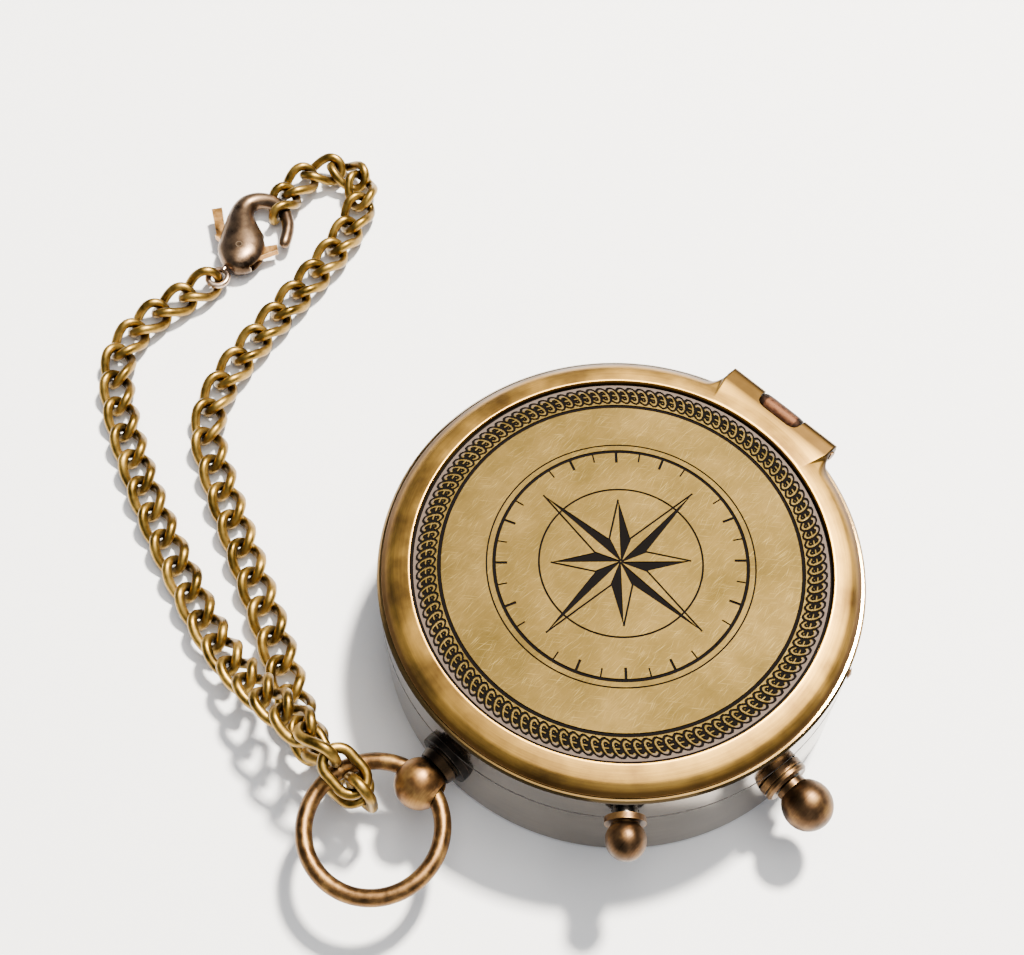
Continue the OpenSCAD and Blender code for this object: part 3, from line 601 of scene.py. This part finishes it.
class COMPASS_OT_lid(bpy.types.Operator):
    """Finishes the lid and adds its engraved plate"""
    bl_idname = "compass.lid"
    bl_label = "Lid"

    def execute(self, context):
        settings = context.scene.compass.lid
        self.plate(settings)
        self.shell(settings)
        return {"FINISHED"}

    def plate(self, settings):
        # Brass sheet, brushed and etched, with black paint left in the lines
        material, tree, shader, place = new_material("Brushed brass sheet, blackened etching")
        stretch = add(tree, "Mapping", {"vector_type": "TEXTURE", "Scale": (5.0, 0.12, 1.0),
                                        "Rotation": (0, 0, math.radians(88))}, {0: place})
        brush = add(tree, "TexNoise", {"Scale": 1.0, "Detail": 4.0, "Roughness": 0.7},
                    {"Vector": stretch})
        blotch = add(tree, "TexNoise", {"Scale": 0.12, "Detail": 5.0, "Roughness": 0.65},
                     {"Vector": place})
        tone = add(tree, "ValToRGB", {"stops": [(0.3, "#3D3115"), (0.5, settings.plate),
                                                (0.72, "#554523")]}, {0: blotch})
        face = add(tree, "Mix", {"data_type": "RGBA", "blend_type": "OVERLAY", 0: 0.45},
                   {6: tone, 7: brush}).outputs[2]
        # Fine wear scratches, 1 to 3 mm long, at four slants; drawn 0.1 mm wide so that they show
        for slant, shift, level in SCRATCHES:
            lie = add(tree, "Mapping", {"vector_type": "TEXTURE", "Location": (shift, shift, 0),
                                        "Rotation": (0, 0, math.radians(slant)),
                                        "Scale": (2.8, 0.075, 1.0)}, {0: place})
            nick = add(tree, "TexNoise", {"Scale": 1.0, "Detail": 0.0}, {"Vector": lie})
            face, _ = tint(tree, face, "#A8935A", nick, 0.71, 0.82, level)
        face, aged = tint(tree, face, settings.patina, from_axis(tree, place), *PATINA)
        # Paint lies on what is below the face but not on the plate's back edge
        top = PLATE_Z[1]
        split = add(tree, "SeparateXYZ", None, {0: place})
        under, over = (add(tree, "MapRange", {"From Min": top - a, "From Max": top - b},
                           {0: split.outputs["Z"]}) for a, b in ((0.02, 0.05), (0.4, 0.3)))
        sunk = add(tree, "Math", {"operation": "MULTIPLY"}, {0: under, 1: over})
        inked = add(tree, "Mix", {"data_type": "RGBA", 7: settings.black}, {0: sunk, 6: face})
        # Patina is nearly all film and paint no metal at all
        film = add(tree, "MapRange", {"To Min": 1.0, "To Max": 0.08}, {0: aged})
        bare = add(tree, "MapRange", {"To Min": 1.0, "To Max": 0.0}, {0: sunk})
        shine = add(tree, "Math", {"operation": "MULTIPLY"}, {0: bare, 1: film})
        rough = add(tree, "MapRange", {"To Min": 0.5, "To Max": 0.66}, {0: brush})
        dull = add(tree, "Mix", {"data_type": "FLOAT", 3: 0.95}, {0: sunk, 2: rough})
        bump = add(tree, "Bump", {"Strength": 1.0, "Distance": 0.012 * MM}, {"Height": brush})
        plug(tree, shader, {"Base Color": inked.outputs[2], "Metallic": shine, "Roughness": dull,
                            "Normal": bump})
        shader.inputs["Specular IOR Level"].default_value = 0.04

        around = settings.links * 14
        low, high = PLATE_Z
        depth = settings.depth / MM
        radii = np.concatenate([
            [DISC_R],
            INNER_LINE_R + np.array([-0.29, -0.25, -0.2, -0.15, 0.15, 0.2, 0.25, 0.29]),
            np.arange(ROPE_IN_R + 0.02, ROPE_OUT_R + 0.05, 0.062),
            [25.22, OUTER_LINE_R - LINE_WALL, OUTER_LINE_R, 25.6, PLATE_R]])
        angle = 2 * np.pi * np.arange(around) / around
        grid_r, grid_a = np.meshgrid(radii, angle, indexing="ij")
        pitch = 2 * np.pi * ROPE_R / settings.links
        rope = rope_height(grid_a * ROPE_R, grid_r - ROPE_R, pitch)
        inner = np.clip((np.abs(grid_r - INNER_LINE_R) - LINE_HALF) / LINE_WALL, 0, 1)
        outer = np.clip((OUTER_LINE_R - grid_r) / LINE_WALL, 0, 1)
        on_rope = (grid_r > ROPE_IN_R) & (grid_r < ROPE_OUT_R)
        heights = high - depth * (1 - np.where(on_rope, rope, np.minimum(inner, outer)))
        disc = list(zip(DISC_R * np.cos(angle), DISC_R * np.sin(angle)))
        star = compass_star(*STAR)
        for inside, outside in STAR_CIRCLES:
            star += flat_ring(inside, outside)
        for k in range(32):
            start, end, width = STAR_TICKS[k % 2]
            if k % 8:
                star.append(turned(stroke((start, 0), (end, 0), width), k * math.pi / 16))
        points, faces, edge = layered(star, high, high - depth, disc)
        for r, z in [*zip(radii[1:], heights[1:]), (PLATE_R, np.full(around, low))]:
            ring = range(len(points), len(points) + around)
            points.extend(zip(r * np.cos(angle), r * np.sin(angle), z))
            faces += [(edge[k], edge[(k + 1) % around], ring[(k + 1) % around], ring[k])
                      for k in range(around)]
            edge = ring
        faces.append(tuple(edge))
        mesh_piece("lid_plate_engraved", points, faces, material, "lid", ("lid_plate",),
                   "plate_brass", 50.0)

    def shell(self, settings):
        # Cast brass, lacquered and rubbed: warm satin rings from the lathe
        rim = metal("Lathe-turned antique brass", "#B58B3F", settings.brass, settings.shade, 0.36,
                    9.0, 0.2, 0.006, 0.35, 1.2, "#BE9A55", 0.12,
                    lambda *at: turned_marks(*at, 6.0, 3.0))
        # Painted shade: the outer bevel below the shoulder is darkened brown
        band(rim, settings.edge, SHOULDER[1] - 0.12, SHOULDER[1] - 0.6, 0.9)
        # Painted shade: dark brown towards the hinge and over the tab, with a painted highlight
        # along the tab's outer edge
        band(rim, "#2C1F0C", 26.3, 29.2, 1.0, "Y")
        band(rim, "#B08C4A", 31.1, 31.25, 0.7, "Y")
        finish_nodes(rim, "lid_shell", "lid_tongue")
        # Columns round the lid in degrees from the hinge, closer at the tab's sides
        turn = np.concatenate([np.arange(0, 14.0, 0.8), np.arange(14.2, 21.6, 0.2),
                               np.arange(22.2, 180.0, 0.8)])
        turn = np.radians(np.concatenate([turn, -turn[turn > 0][::-1]]))
        reach = np.array([lid_reach(a) for a in turn])
        on_tab = np.clip((reach - LID_R) / TAB_BLEND, 0, 1)
        on_tab = on_tab * on_tab * (3 - 2 * on_tab)
        # Rows across the rim, as shares of its width, closer where it curves
        share = np.concatenate([np.linspace(0, 0.54, 9), np.linspace(0.58, 0.68, 6),
                                np.linspace(0.72, 0.93, 5), np.linspace(0.945, 1.0, 5)])
        loops = [(SEAT_IN_R, LID_Z), (SEAT_IN_R, PLATE_Z[0]), (SEAT_R, PLATE_Z[0]),
                 (SEAT_R, RIM_Z - 0.12), (SEAT_R + 0.03, RIM_Z - 0.05)]
        rows = [(r + 0 * turn, z + 0 * turn) for r, z in loops]
        start = SEAT_R + 0.09
        for t in share:
            r = start + (reach - start) * t
            rows.append((r, lid_top(r, turn, reach, on_tab)))
        edge = rows[-1][1]
        rows += [(reach, edge - 0.05), (reach, LID_Z + 0.05 + 0 * turn),
                 (reach - 0.05, LID_Z + 0 * turn)]
        points = [(r[k] * math.sin(turn[k]), r[k] * math.cos(turn[k]), z[k])
                  for k in range(len(turn)) for r, z in rows]
        ring = (points, ring_faces(len(turn), len(rows), True))
        shell = mesh_piece("lid_rim", *ring, rim, "lid", ("lid_shell",), "lid_brass", 50.0)
        # Cutter with rounded ends, so that the notch gets round corners, and open to the back
        cutter = [(r, x - NOTCH_HALF) for r, x in NOTCH_END]
        cutter += [(r, -x) for r, x in cutter[::-1]]
        carve(shell, [lathe(cutter, 48, *HINGE),
                      box((-NOTCH_HALF, NOTCH_HALF), (HINGE_Y, HINGE_Y + 2.4), (15.5, 21.0))], 50.0)
        ear = [(EAR_BORE_R, NOTCH_HALF), (EAR_R - EAR_BEVEL, NOTCH_HALF),
               (EAR_R, NOTCH_HALF + EAR_BEVEL), (EAR_R, TAB_HALF - EAR_BEVEL),
               (EAR_R - EAR_BEVEL, TAB_HALF), (EAR_BORE_R, TAB_HALF)]
        ears = [lathe([(r, side * x) for r, x in ear], 40, *HINGE) for side in (-1, 1)]
        mesh_piece("lid_hinge_ears", *join(ears), rim, "lid", (), "lid_brass")


# Case: wall, dial, glass, needle, knobs and pendant

CASE_R = 30.0
SEAM_Z = 12.6
# The knuckle's rounded end: radius, distance from the middle
KNUCKLE_END = [(0.95, 3.11), (1.24, 3.11), (1.31, 2.98), (1.38, 2.7), (1.42, 2.3), (1.44, 1.6)]
# Directions of the knobs and the pendant from the case's middle, in degrees
LOCK_TURN, CATCH_TURN, PENDANT_TURN = 353, 314, 270


class COMPASS_OT_case(bpy.types.Operator):
    """Finishes the case, its knobs, the pendant, the dial and the needle"""
    bl_idname = "compass.case"
    bl_label = "Case"

    def execute(self, context):
        settings = context.scene.compass.case

        # Polished nickel plate on brass: a warm mirror with faint turning marks
        wall = metal("Polished nickel plate", "#766856", settings.wall, "#5C503F", 0.11, 12.0, 0.2,
                     0.0015, 0.5, 1.5, "#8F8676", 0.1, lambda *at: turned_marks(*at, 5.0, 2.0))
        band(wall, "#6B5228", 17.6, 17.75, 0.85)
        finish_nodes(wall, "case_cup", "upper_ring")
        # Grime in the seam: a dull dark line all round
        grime = mottled("Dried oil and grime", 2.0, 3.0, [(0.3, "#0D0A08"), (0.7, "#2A211A")], 0.8)
        seam = [(CASE_R + out, SEAM_Z + up)
                for out, up in ((-0.3, -0.22), (0.012, -0.2), (0.012, 0.2), (-0.3, 0.22))]
        mesh_piece("seam_grime", *lathe(seam, 360, hollow=True), grime, "case")

        # Soldered copper: rough and pink on the middle knuckle of the hinge
        copper = metal("Rough soldered copper", "#5E3E2B", "#4A3020", "#352018",
                       0.5, 0.5, 0.12, 0.03, 0.5, 0.8)
        for low, high in ((2.35, 2.55), (-2.15, -2.35)):
            band(copper, "#1C130E", low, high, 0.95, "X")
        lump, faces = lathe([(r, -x) for r, x in KNUCKLE_END] + KNUCKLE_END[::-1], 40, *HINGE)
        lump = [(x, min(y, HINGE_Y + EAR_R), z) for x, y, z in lump]
        mesh_piece("hinge_knuckle_sleeve", lump, faces, copper, "case")

        # Antique bronze: brown with gold showing where it is handled, and rings from the lathe
        plain = (settings.bronze_wear, settings.bronze)
        # Painted light: the pendant's bronze is made lighter to make up for the lid's shade that
        # falls on it
        lit_up = ("#93703F", "#735230")
        for name, bearing, (light, mid), nodes in (
                ("lock", LOCK_TURN, plain, ("lock_bush", "lock_shaft", "lock_knob")),
                ("catch", CATCH_TURN, plain, ("catch_button",)),
                ("pendant", PENDANT_TURN, lit_up, ("pendant_stem",))):
            def knob_rings(tree, place, bearing=bearing):
                return add(tree, "Mapping", {"Rotation": (0, 0, math.radians(-bearing)),
                                             "Scale": (9.0, 0.5, 0.5)}, {0: place})
            bronze = metal("Turned antique bronze, " + name, light, mid, "#3B2C1D",
                           0.38, 3.2, 0.12, 0.012, 0.9, 1.2, light, 0.2, knob_rings)
            if name == "pendant":
                band(bronze, "#14110F", -33.0, -32.4, 0.92, "Y")
            finish_nodes(bronze, *nodes)

        # Blackened brass: a dull black collar under the pendant's ball
        finish_nodes(metal("Blackened brass", "#2A2521", "#191614", "#0F0D0C", 0.5, 1.5, 0.12,
                           0.01, 0.6, 0.8, "#5A5048", 0.12), "pendant_nut")

        # Drawn bronze rod, rubbed gold by the chain
        finish_nodes(metal("Drawn antique bronze rod", "#8A6A3C", "#65492B", "#46331F", 0.38, 2.0,
                           0.12, 0.01, 0.7, 1.2), "bow_ring", "hinge_pin", "rim_stud")

        # Bright turned brass of the works
        finish_nodes(metal("Turned brass", "#C9A85C", "#BC9A50", "#A78542", 0.25, 6.0, 0.1, 0.003,
                           0.4, 0.8), "pivot_post", "pivot_pin", "dial_spacer", "dial_screws",
                     "dial_surround", "crystal_ring", "needle_hub", "needle_lifter")

        # Spring steel wire: grey and fairly bright
        finish_nodes(metal("Spring steel", "#5E5A55", "#3F3B37", "#24211E", 0.28, 1.5, 0.08, 0.002,
                           0.4, 0.6), "catch_spring")

        # Steel: one half deep blue from the tempering oven, the other left bright
        blued = metal("Blued and bright steel", "#182744", "#111D34", "#0B1222",
                      0.34, 2.0, 0.08, 0.002, 0.2, 0.6)
        band(blued, "#8E8C86", 0.05, -0.05, 1.0, "Y")
        finish_nodes(blued, "needle")

        # Silvered brass: a pale matt dial
        silver = metal("Silvered brass", "#D2CEC1", settings.dial, "#B3AE9F",
                       0.42, 6.0, 0.1, 0.002, 0.4, 1.0)
        silver.node_tree.nodes["Principled BSDF"].inputs["Metallic"].default_value = 0.35
        finish_nodes(silver, "dial")

        # Watch glass: clear mineral glass with faint wipe marks
        glass, tree, shader, place = new_material("Clear mineral glass")
        smear = add(tree, "TexNoise", {"Scale": 0.25, "Detail": 5.0}, {"Vector": place})
        wiped = add(tree, "MapRange", {"To Min": 0.01, "To Max": 0.07}, {0: smear})
        hue = add(tree, "ValToRGB", {"stops": [(0.0, "#EAF4F0"), (1.0, "#FFFFFF")]}, {0: smear})
        shader.inputs["Metallic"].default_value = 1.0
        # A coated glass face returns 2 percent of the light straight on and most of it at a glance
        edge_on = add(tree, "LayerWeight", {"Blend": 0.5})
        steep = add(tree, "Math", {"operation": "POWER", 1: 5.0}, {0: edge_on.outputs["Facing"]})
        mirror = add(tree, "MapRange", {"To Min": 0.02, "To Max": 0.9}, {0: steep})
        plug(tree, shader, {"Base Color": hue, "Roughness": wiped, "Alpha": mirror})
        finish_nodes(glass, "crystal")
        return {"FINISHED"}


# Dial printing: degree scale, numbers, letters of the four winds and a star

DIAL_Z = 11.7
INK_T = 0.02
SCALE_R = 23.9
# Circles from the scale inwards, the scale's marks (start and width) and the dial's star
DIAL_CIRCLES = ((SCALE_R, SCALE_R + 0.2), (22.35, 22.5), (17.9, 18.05), (3.05, 3.25))
LONG_MARK, SHORT_MARK = (22.4, 0.26), (23.2, 0.15)
DIAL_STAR = (16.6, 11.2, 4.6, 0.16, 3.15)
FIGURE_R = 20.2
LETTER_SIZE, NUMBER_SIZE = 3.6, 2.2


def glyphs(words, size, thick):
    """Gives the mesh of a short line of type, centred, in mm."""
    type_line = bpy.data.curves.new("type", "FONT")
    type_line.body = words
    type_line.align_x = type_line.align_y = "CENTER"
    type_line.size = size
    type_line.extrude = thick / 2
    type_line.offset = 0.05
    type_line.resolution_u = 3
    holder = put("type", type_line)
    bpy.context.view_layer.update()
    mesh = bpy.data.meshes.new_from_object(
        holder.evaluated_get(bpy.context.evaluated_depsgraph_get()))
    shaped = bmesh.new()
    shaped.from_mesh(mesh)
    bmesh.ops.remove_doubles(shaped, verts=shaped.verts, dist=1e-4)
    points = [tuple(v.co) for v in shaped.verts]
    faces = [tuple(v.index for v in f.verts) for f in shaped.faces]
    shaped.free()
    bpy.data.objects.remove(holder)
    bpy.data.curves.remove(type_line)
    bpy.data.meshes.remove(mesh)
    return points, faces


class COMPASS_OT_dial(bpy.types.Operator):
    """Prints the scale, the numbers and the star on the dial"""
    bl_idname = "compass.dial"
    bl_label = "Dial printing"

    def execute(self, context):
        # Pad-printed ink: dull black, a little thin in places
        ink = mottled("Pad-printed ink", 3.0, 3.0, [(0.35, "#0B0C10"), (0.75, "#23242A")], 0.6)
        figures = []
        for inner, outer in DIAL_CIRCLES:
            figures += flat_ring(inner, outer)
        for k in range(180):
            inner, width = SHORT_MARK if k % 5 else LONG_MARK
            figures.append(turned(stroke((inner, 0), (SCALE_R + 0.05, 0), width),
                                  2 * math.pi * k / 180))
        figures += compass_star(*DIAL_STAR)
        parts = [layered(figures, DIAL_Z + INK_T, DIAL_Z - INK_T)[:2]]
        for degrees in range(0, 360, 30):
            words, size = str(degrees), NUMBER_SIZE
            if degrees % 90 == 0:
                words, size = "NESW"[degrees // 90], LETTER_SIZE
            spots, sides = glyphs(words, size, 2 * INK_T)
            turn = math.radians(-degrees)
            c, s = math.cos(turn), math.sin(turn)
            parts.append(([(x * c - (y + FIGURE_R) * s, x * s + (y + FIGURE_R) * c, z + DIAL_Z)
                           for x, y, z in spots], sides))
        mesh_piece("dial_marks", *join(parts), ink, "case")
        return {"FINISHED"}


# Chain: twisted curb links along the routes of the two strands

# In mm: one strand from the clasp to the ring, the other from the ring to the chain's far end
CLASP_ROUTE = [
    (-79.6, -1.6, 2.5), (-80.4, -7, 2.2), (-81.5, -13, 2), (-80, -19, 2), (-75.5, -23.5, 2),
    (-69, -27, 2), (-61, -30.5, 2), (-53, -33.5, 2), (-45, -36, 2), (-37, -38.5, 2.5),
    (-29, -40, 5), (-21.5, -40.5, 9.4), (-16, -40.5, 11.9), (-13, -40.5, 12.5),
    (-9, -40.5, 12.6)]
LONG_ROUTE = [
    (-9, -40.5, 6.2), (-13, -40.5, 4.8), (-21, -37.5, 3.6), (-29, -33.5, 2.2), (-37, -30, 2),
    (-45, -26.5, 2), (-53, -23, 2), (-60, -19.5, 2), (-64, -15, 2), (-66, -9, 2),
    (-67.5, -2, 2), (-69, 6, 2), (-70.3, 13.5, 2.2), (-72.3, 19.3, 2), (-74.8, 24.6, 2.7),
    (-78.7, 27, 2.5), (-82.7, 25.4, 2.4), (-84.6, 21, 2.6), (-84, 17.6, 2.6),
    (-82.1, 12.8, 2.5)]
# The links round the pendant's ring: from, to and roll
WRAP_LINKS = [((-9, -40.5, 12.6), (-4.6, -40.5, 11.1), 0),
              ((-4.2, -40.5, 11.7), (-4.2, -40.5, 7.1), 90),
              ((-4.6, -40.5, 7.7), (-9, -40.5, 6.2), 0)]
# Where the run of links that twists between the ring and the level chain starts and ends
# Rolls in degrees: at the ring, between neighbours, at the clasp and at the chain's far end
RING_ROLL, CURB_ROLL, CLASP_ROLL, HOOK_ROLL = 90, 45, 64, 84
PITCH = 4.65
# A link's length, its width and the wire that the CAD draws it with
LINK_L, LINK_W, CAD_WIRE = 7.3, 5.0, 1.2
# Links of each strand in the run that twists
TWIST_LINKS = 9


def joints(route):
    """Spaces the joints of a strand evenly along its route."""
    corners = np.array(route, float)
    steps = np.linalg.norm(np.diff(corners, axis=0), axis=1)
    run = np.concatenate([[0], np.cumsum(steps)])
    count = int(round(run[-1] / PITCH))
    at = np.linspace(0, run[-1], count + 1)
    return np.stack([np.interp(at, run, corners[:, k]) for k in range(3)], 1)


def link_mesh(start, end, roll_start, roll_end, wire):
    """Sweeps one chain link whose plane turns from one end's roll to the other's."""
    along, round_wire = 44, 12
    start, end = Vector(start), Vector(end)
    x_axis = (end - start).normalized()
    flat = Vector((0, 0, 1)).cross(x_axis)
    y_axis = flat.normalized() if flat.length > 1e-4 else Vector((0, 1, 0))
    z_axis = x_axis.cross(y_axis)
    middle = (start + end) / 2
    bend = (LINK_W - CAD_WIRE) / 2
    straight = (LINK_L - LINK_W) / 2
    half = 2 * straight + math.pi * bend
    reach = straight + bend
    path = []
    for k in range(along):
        # The second half of the link is the first one turned by half a turn
        s, way = 2 * half * k / along, 1
        if s >= half:
            s, way = s - half, -1
        if s < 2 * straight:
            u, v = s - straight, -bend
        else:
            a = (s - 2 * straight) / bend - math.pi / 2
            u, v = polar(bend, a)
            u += straight
        u, v = way * u, way * v
        share = 0.5 + 0.5 * math.sin(math.pi / 2 * max(-1, min(1, u / reach)))
        roll = math.radians(roll_start + (roll_end - roll_start) * share)
        path.append(middle + x_axis * u + (y_axis * math.cos(roll) + z_axis * math.sin(roll)) * v)
    points = []
    for k in range(along):
        ahead = (path[(k + 1) % along] - path[k - 1]).normalized()
        out = path[k] - middle
        side = (out - ahead * out.dot(ahead)).normalized()
        other = ahead.cross(side)
        for j in range(round_wire):
            a = 2 * math.pi * j / round_wire
            points.append(path[k] + (side * math.cos(a) + other * math.sin(a)) * wire / 2)
    return points, ring_faces(along, round_wire, True)


class COMPASS_OT_chain(bpy.types.Operator):
    """Adds the curb chain in four runs"""
    bl_idname = "compass.chain"
    bl_label = "Chain"

    def execute(self, context):
        settings = context.scene.compass.chain
        wire = settings.wire / MM
        # Antique brass wire: soft gold on the outside of the links, with painted shade and grime
        # between them
        brass = metal("Tumbled antique brass wire", "#A38340", settings.brass, "#523F18",
                      0.36, 2.6, 0.1, 0.004, 0.95, 1.3)
        runs = []
        for points, last in ((joints(CLASP_ROUTE)[::-1], CLASP_ROLL),
                             (joints(LONG_ROUTE), HOOK_ROLL)):
            # Neighbours meet at a right angle
            turns = [CURB_ROLL] * (len(points) - 2)
            runs.append([link_mesh(*link, wire) for link in zip(
                points, points[1:], [RING_ROLL] + [-turn for turn in turns], turns + [last])])
        wrap = [link_mesh(a, b, roll, roll, wire) for a, b, roll in WRAP_LINKS]
        mesh_piece("chain_wrap", *join(wrap), brass, "ring", ("chain_hitch",), "chain_brass")
        fan = mesh_piece("chain_fan", *join(runs[0][:TWIST_LINKS] + runs[1][:TWIST_LINKS]),
                         brass, None, (), "chain_brass")
        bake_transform(fan)
        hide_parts("chain_ring_end")
        for name, run, node in (("chain_clasp_run", runs[0], "chain_clasp_end"),
                                ("chain_hook_run", runs[1], "chain_long_end")):
            mesh_piece(name, *join(run[TWIST_LINKS:]), brass, "chain", (node,), "chain_brass")
        return {"FINISHED"}


# Clasp: fat bronze body, gate, rivet and eye

CLASP_AT = Vector((-79.45, -0.87, 2.4))
CLASP_TURN = math.radians(106)
# Stations of the body from the eye to the hook's tip: along, across, half width
CLASP_BODY = [
    (1.95, 1.1, 0.25), (2.1, 1.1, 1.1), (2.6, 1.05, 2.0), (3.6, 0.95, 2.9), (4.8, 0.7, 3.5),
    (6.1, 0.25, 3.7), (7.4, -0.6, 3.45), (8.7, -1.6, 2.95), (10.0, -2.5, 2.42),
    (11.4, -3.3, 1.95), (12.8, -3.65, 1.68), (14.0, -3.4, 1.5), (15.05, -2.5, 1.32),
    (15.65, -1.2, 1.18), (15.7, 0.2, 1.08), (15.3, 1.6, 1.02), (14.4, 2.85, 0.98),
    (13.3, 3.9, 0.95), (11.8, 4.7, 0.92), (10.4, 5.2, 0.9), (9.75, 5.4, 0.72), (9.45, 5.48, 0.4),
    (9.36, 5.5, 0.1)]
CLASP_HALF_T = 2.3
# Slot for the gate: along from, along to, across from, across to, and its half height
CLASP_SLOTS = ((3.6, 9.6, -8.0, 3.4), (3.6, 8.7, 0.0, 6.0))
CLASP_SLOT_H = 0.7


def clasp_point(along, across, up=0.0):
    """Places a point given along and across the clasp in the compass's frame, in mm."""
    c, s = math.cos(CLASP_TURN), math.sin(CLASP_TURN)
    return CLASP_AT + Vector((along * c + across * s, along * s - across * c, up))


def smooth_rows(rows, steps):
    """Puts more rows between the given ones on a smooth curve."""
    rows = np.array(rows, float)
    padded = np.vstack([2 * rows[0] - rows[1], rows, 2 * rows[-1] - rows[-2]])
    out = []
    for i in range(len(rows) - 1):
        a, b, c, d = padded[i:i + 4]
        for k in range(steps):
            t = k / steps
            out.append(0.5 * (2 * b + (c - a) * t + (2 * a - 5 * b + 4 * c - d) * t * t
                              + (3 * b - a - 3 * c + d) * t ** 3))
    out.append(rows[-1])
    return out


class COMPASS_OT_clasp(bpy.types.Operator):
    """Finishes the clasp"""
    bl_idname = "compass.clasp"
    bl_label = "Clasp"

    def execute(self, context):
        settings = context.scene.compass.chain
        # Tumbled gunmetal bronze: soft grey brown with a silky shine
        body = metal("Tumbled gunmetal bronze", "#7A634C", settings.clasp, "#3E3024", 0.31, 4.0,
                     0.15, 0.004, 0.7, 1.2, "#A08A70", 0.3)
        finish_nodes(body, "clasp_rivet", "clasp_body")
        rows = smooth_rows(CLASP_BODY, 4)
        around = 36
        points = []
        for i, (along, across, half) in enumerate(rows):
            before, after = rows[max(i - 2, 0)], rows[min(i + 2, len(rows) - 1)]
            heading = math.atan2(after[1] - before[1], after[0] - before[0])
            # Round where the body is thin, and flatter where it is wide
            thick = CLASP_HALF_T * math.tanh(1.05 * max(half, 0.05) / CLASP_HALF_T) * 1.02
            for k in range(around):
                a = 2 * math.pi * k / around
                off = half * math.cos(a)
                points.append(clasp_point(along - off * math.sin(heading),
                                          across + off * math.cos(heading), thick * math.sin(a)))
        shell = mesh_piece("clasp_shell", points, ring_faces(len(rows), around, False), body,
                           "clasp", ("clasp_body",), "clasp_bronze")
        carve(shell, [box((from_u, to_u), (from_v, to_v), (-CLASP_SLOT_H, CLASP_SLOT_H),
                          clasp_point) for from_u, to_u, from_v, to_v in CLASP_SLOTS])
        # Stamped copper sheet: tan with pale rubbed edges
        finish_nodes(metal("Stamped copper sheet", "#BC8E58", "#A37742", "#6E4D2A", 0.35, 2.0, 0.1,
                           0.003, 0.6, 0.8, "#D8B588", 0.15), "clasp_gate")
        # Pale pink bronze wire
        finish_nodes(metal("Pale bronze wire", "#CDB6A2", "#B39A86", "#7C6656", 0.3, 1.5, 0.1,
                           0.003, 0.6, 0.8), "clasp_eye")
        return {"FINISHED"}


class COMPASS_PT_panel(bpy.types.Panel):
    """Lists the pieces of the compass"""
    bl_idname = "COMPASS_PT_panel"
    bl_label = "Pocket compass"
    bl_space_type = "VIEW_3D"
    bl_region_type = "UI"
    bl_category = "Compass"

    def draw(self, context):
        for part in CompassSettings.__annotations__:
            group = getattr(context.scene.compass, part)
            rows = self.layout.box()
            for name in group.__annotations__:
                rows.prop(group, name)
        for operator in OPERATORS:
            self.layout.operator(operator.bl_idname)


OPERATORS = (COMPASS_OT_stage, COMPASS_OT_chain, COMPASS_OT_lid, COMPASS_OT_case,
             COMPASS_OT_dial, COMPASS_OT_clasp)
CLASSES = (StageSettings, LidSettings, CaseSettings, ChainSettings, CompassSettings, *OPERATORS,
           COMPASS_PT_panel)


def register():
    for kind in CLASSES:
        bpy.utils.register_class(kind)
    bpy.types.Scene.compass = PointerProperty(type=CompassSettings)


def unregister():
    del bpy.types.Scene.compass
    for kind in reversed(CLASSES):
        bpy.utils.unregister_class(kind)


def main():
    """Makes every piece in order."""
    register()
    bpy.ops.compass.stage()
    bpy.ops.compass.chain()
    bpy.ops.compass.lid()
    bpy.ops.compass.case()
    bpy.ops.compass.dial()
    bpy.ops.compass.clasp()


if __name__ == "__main__":
    main()
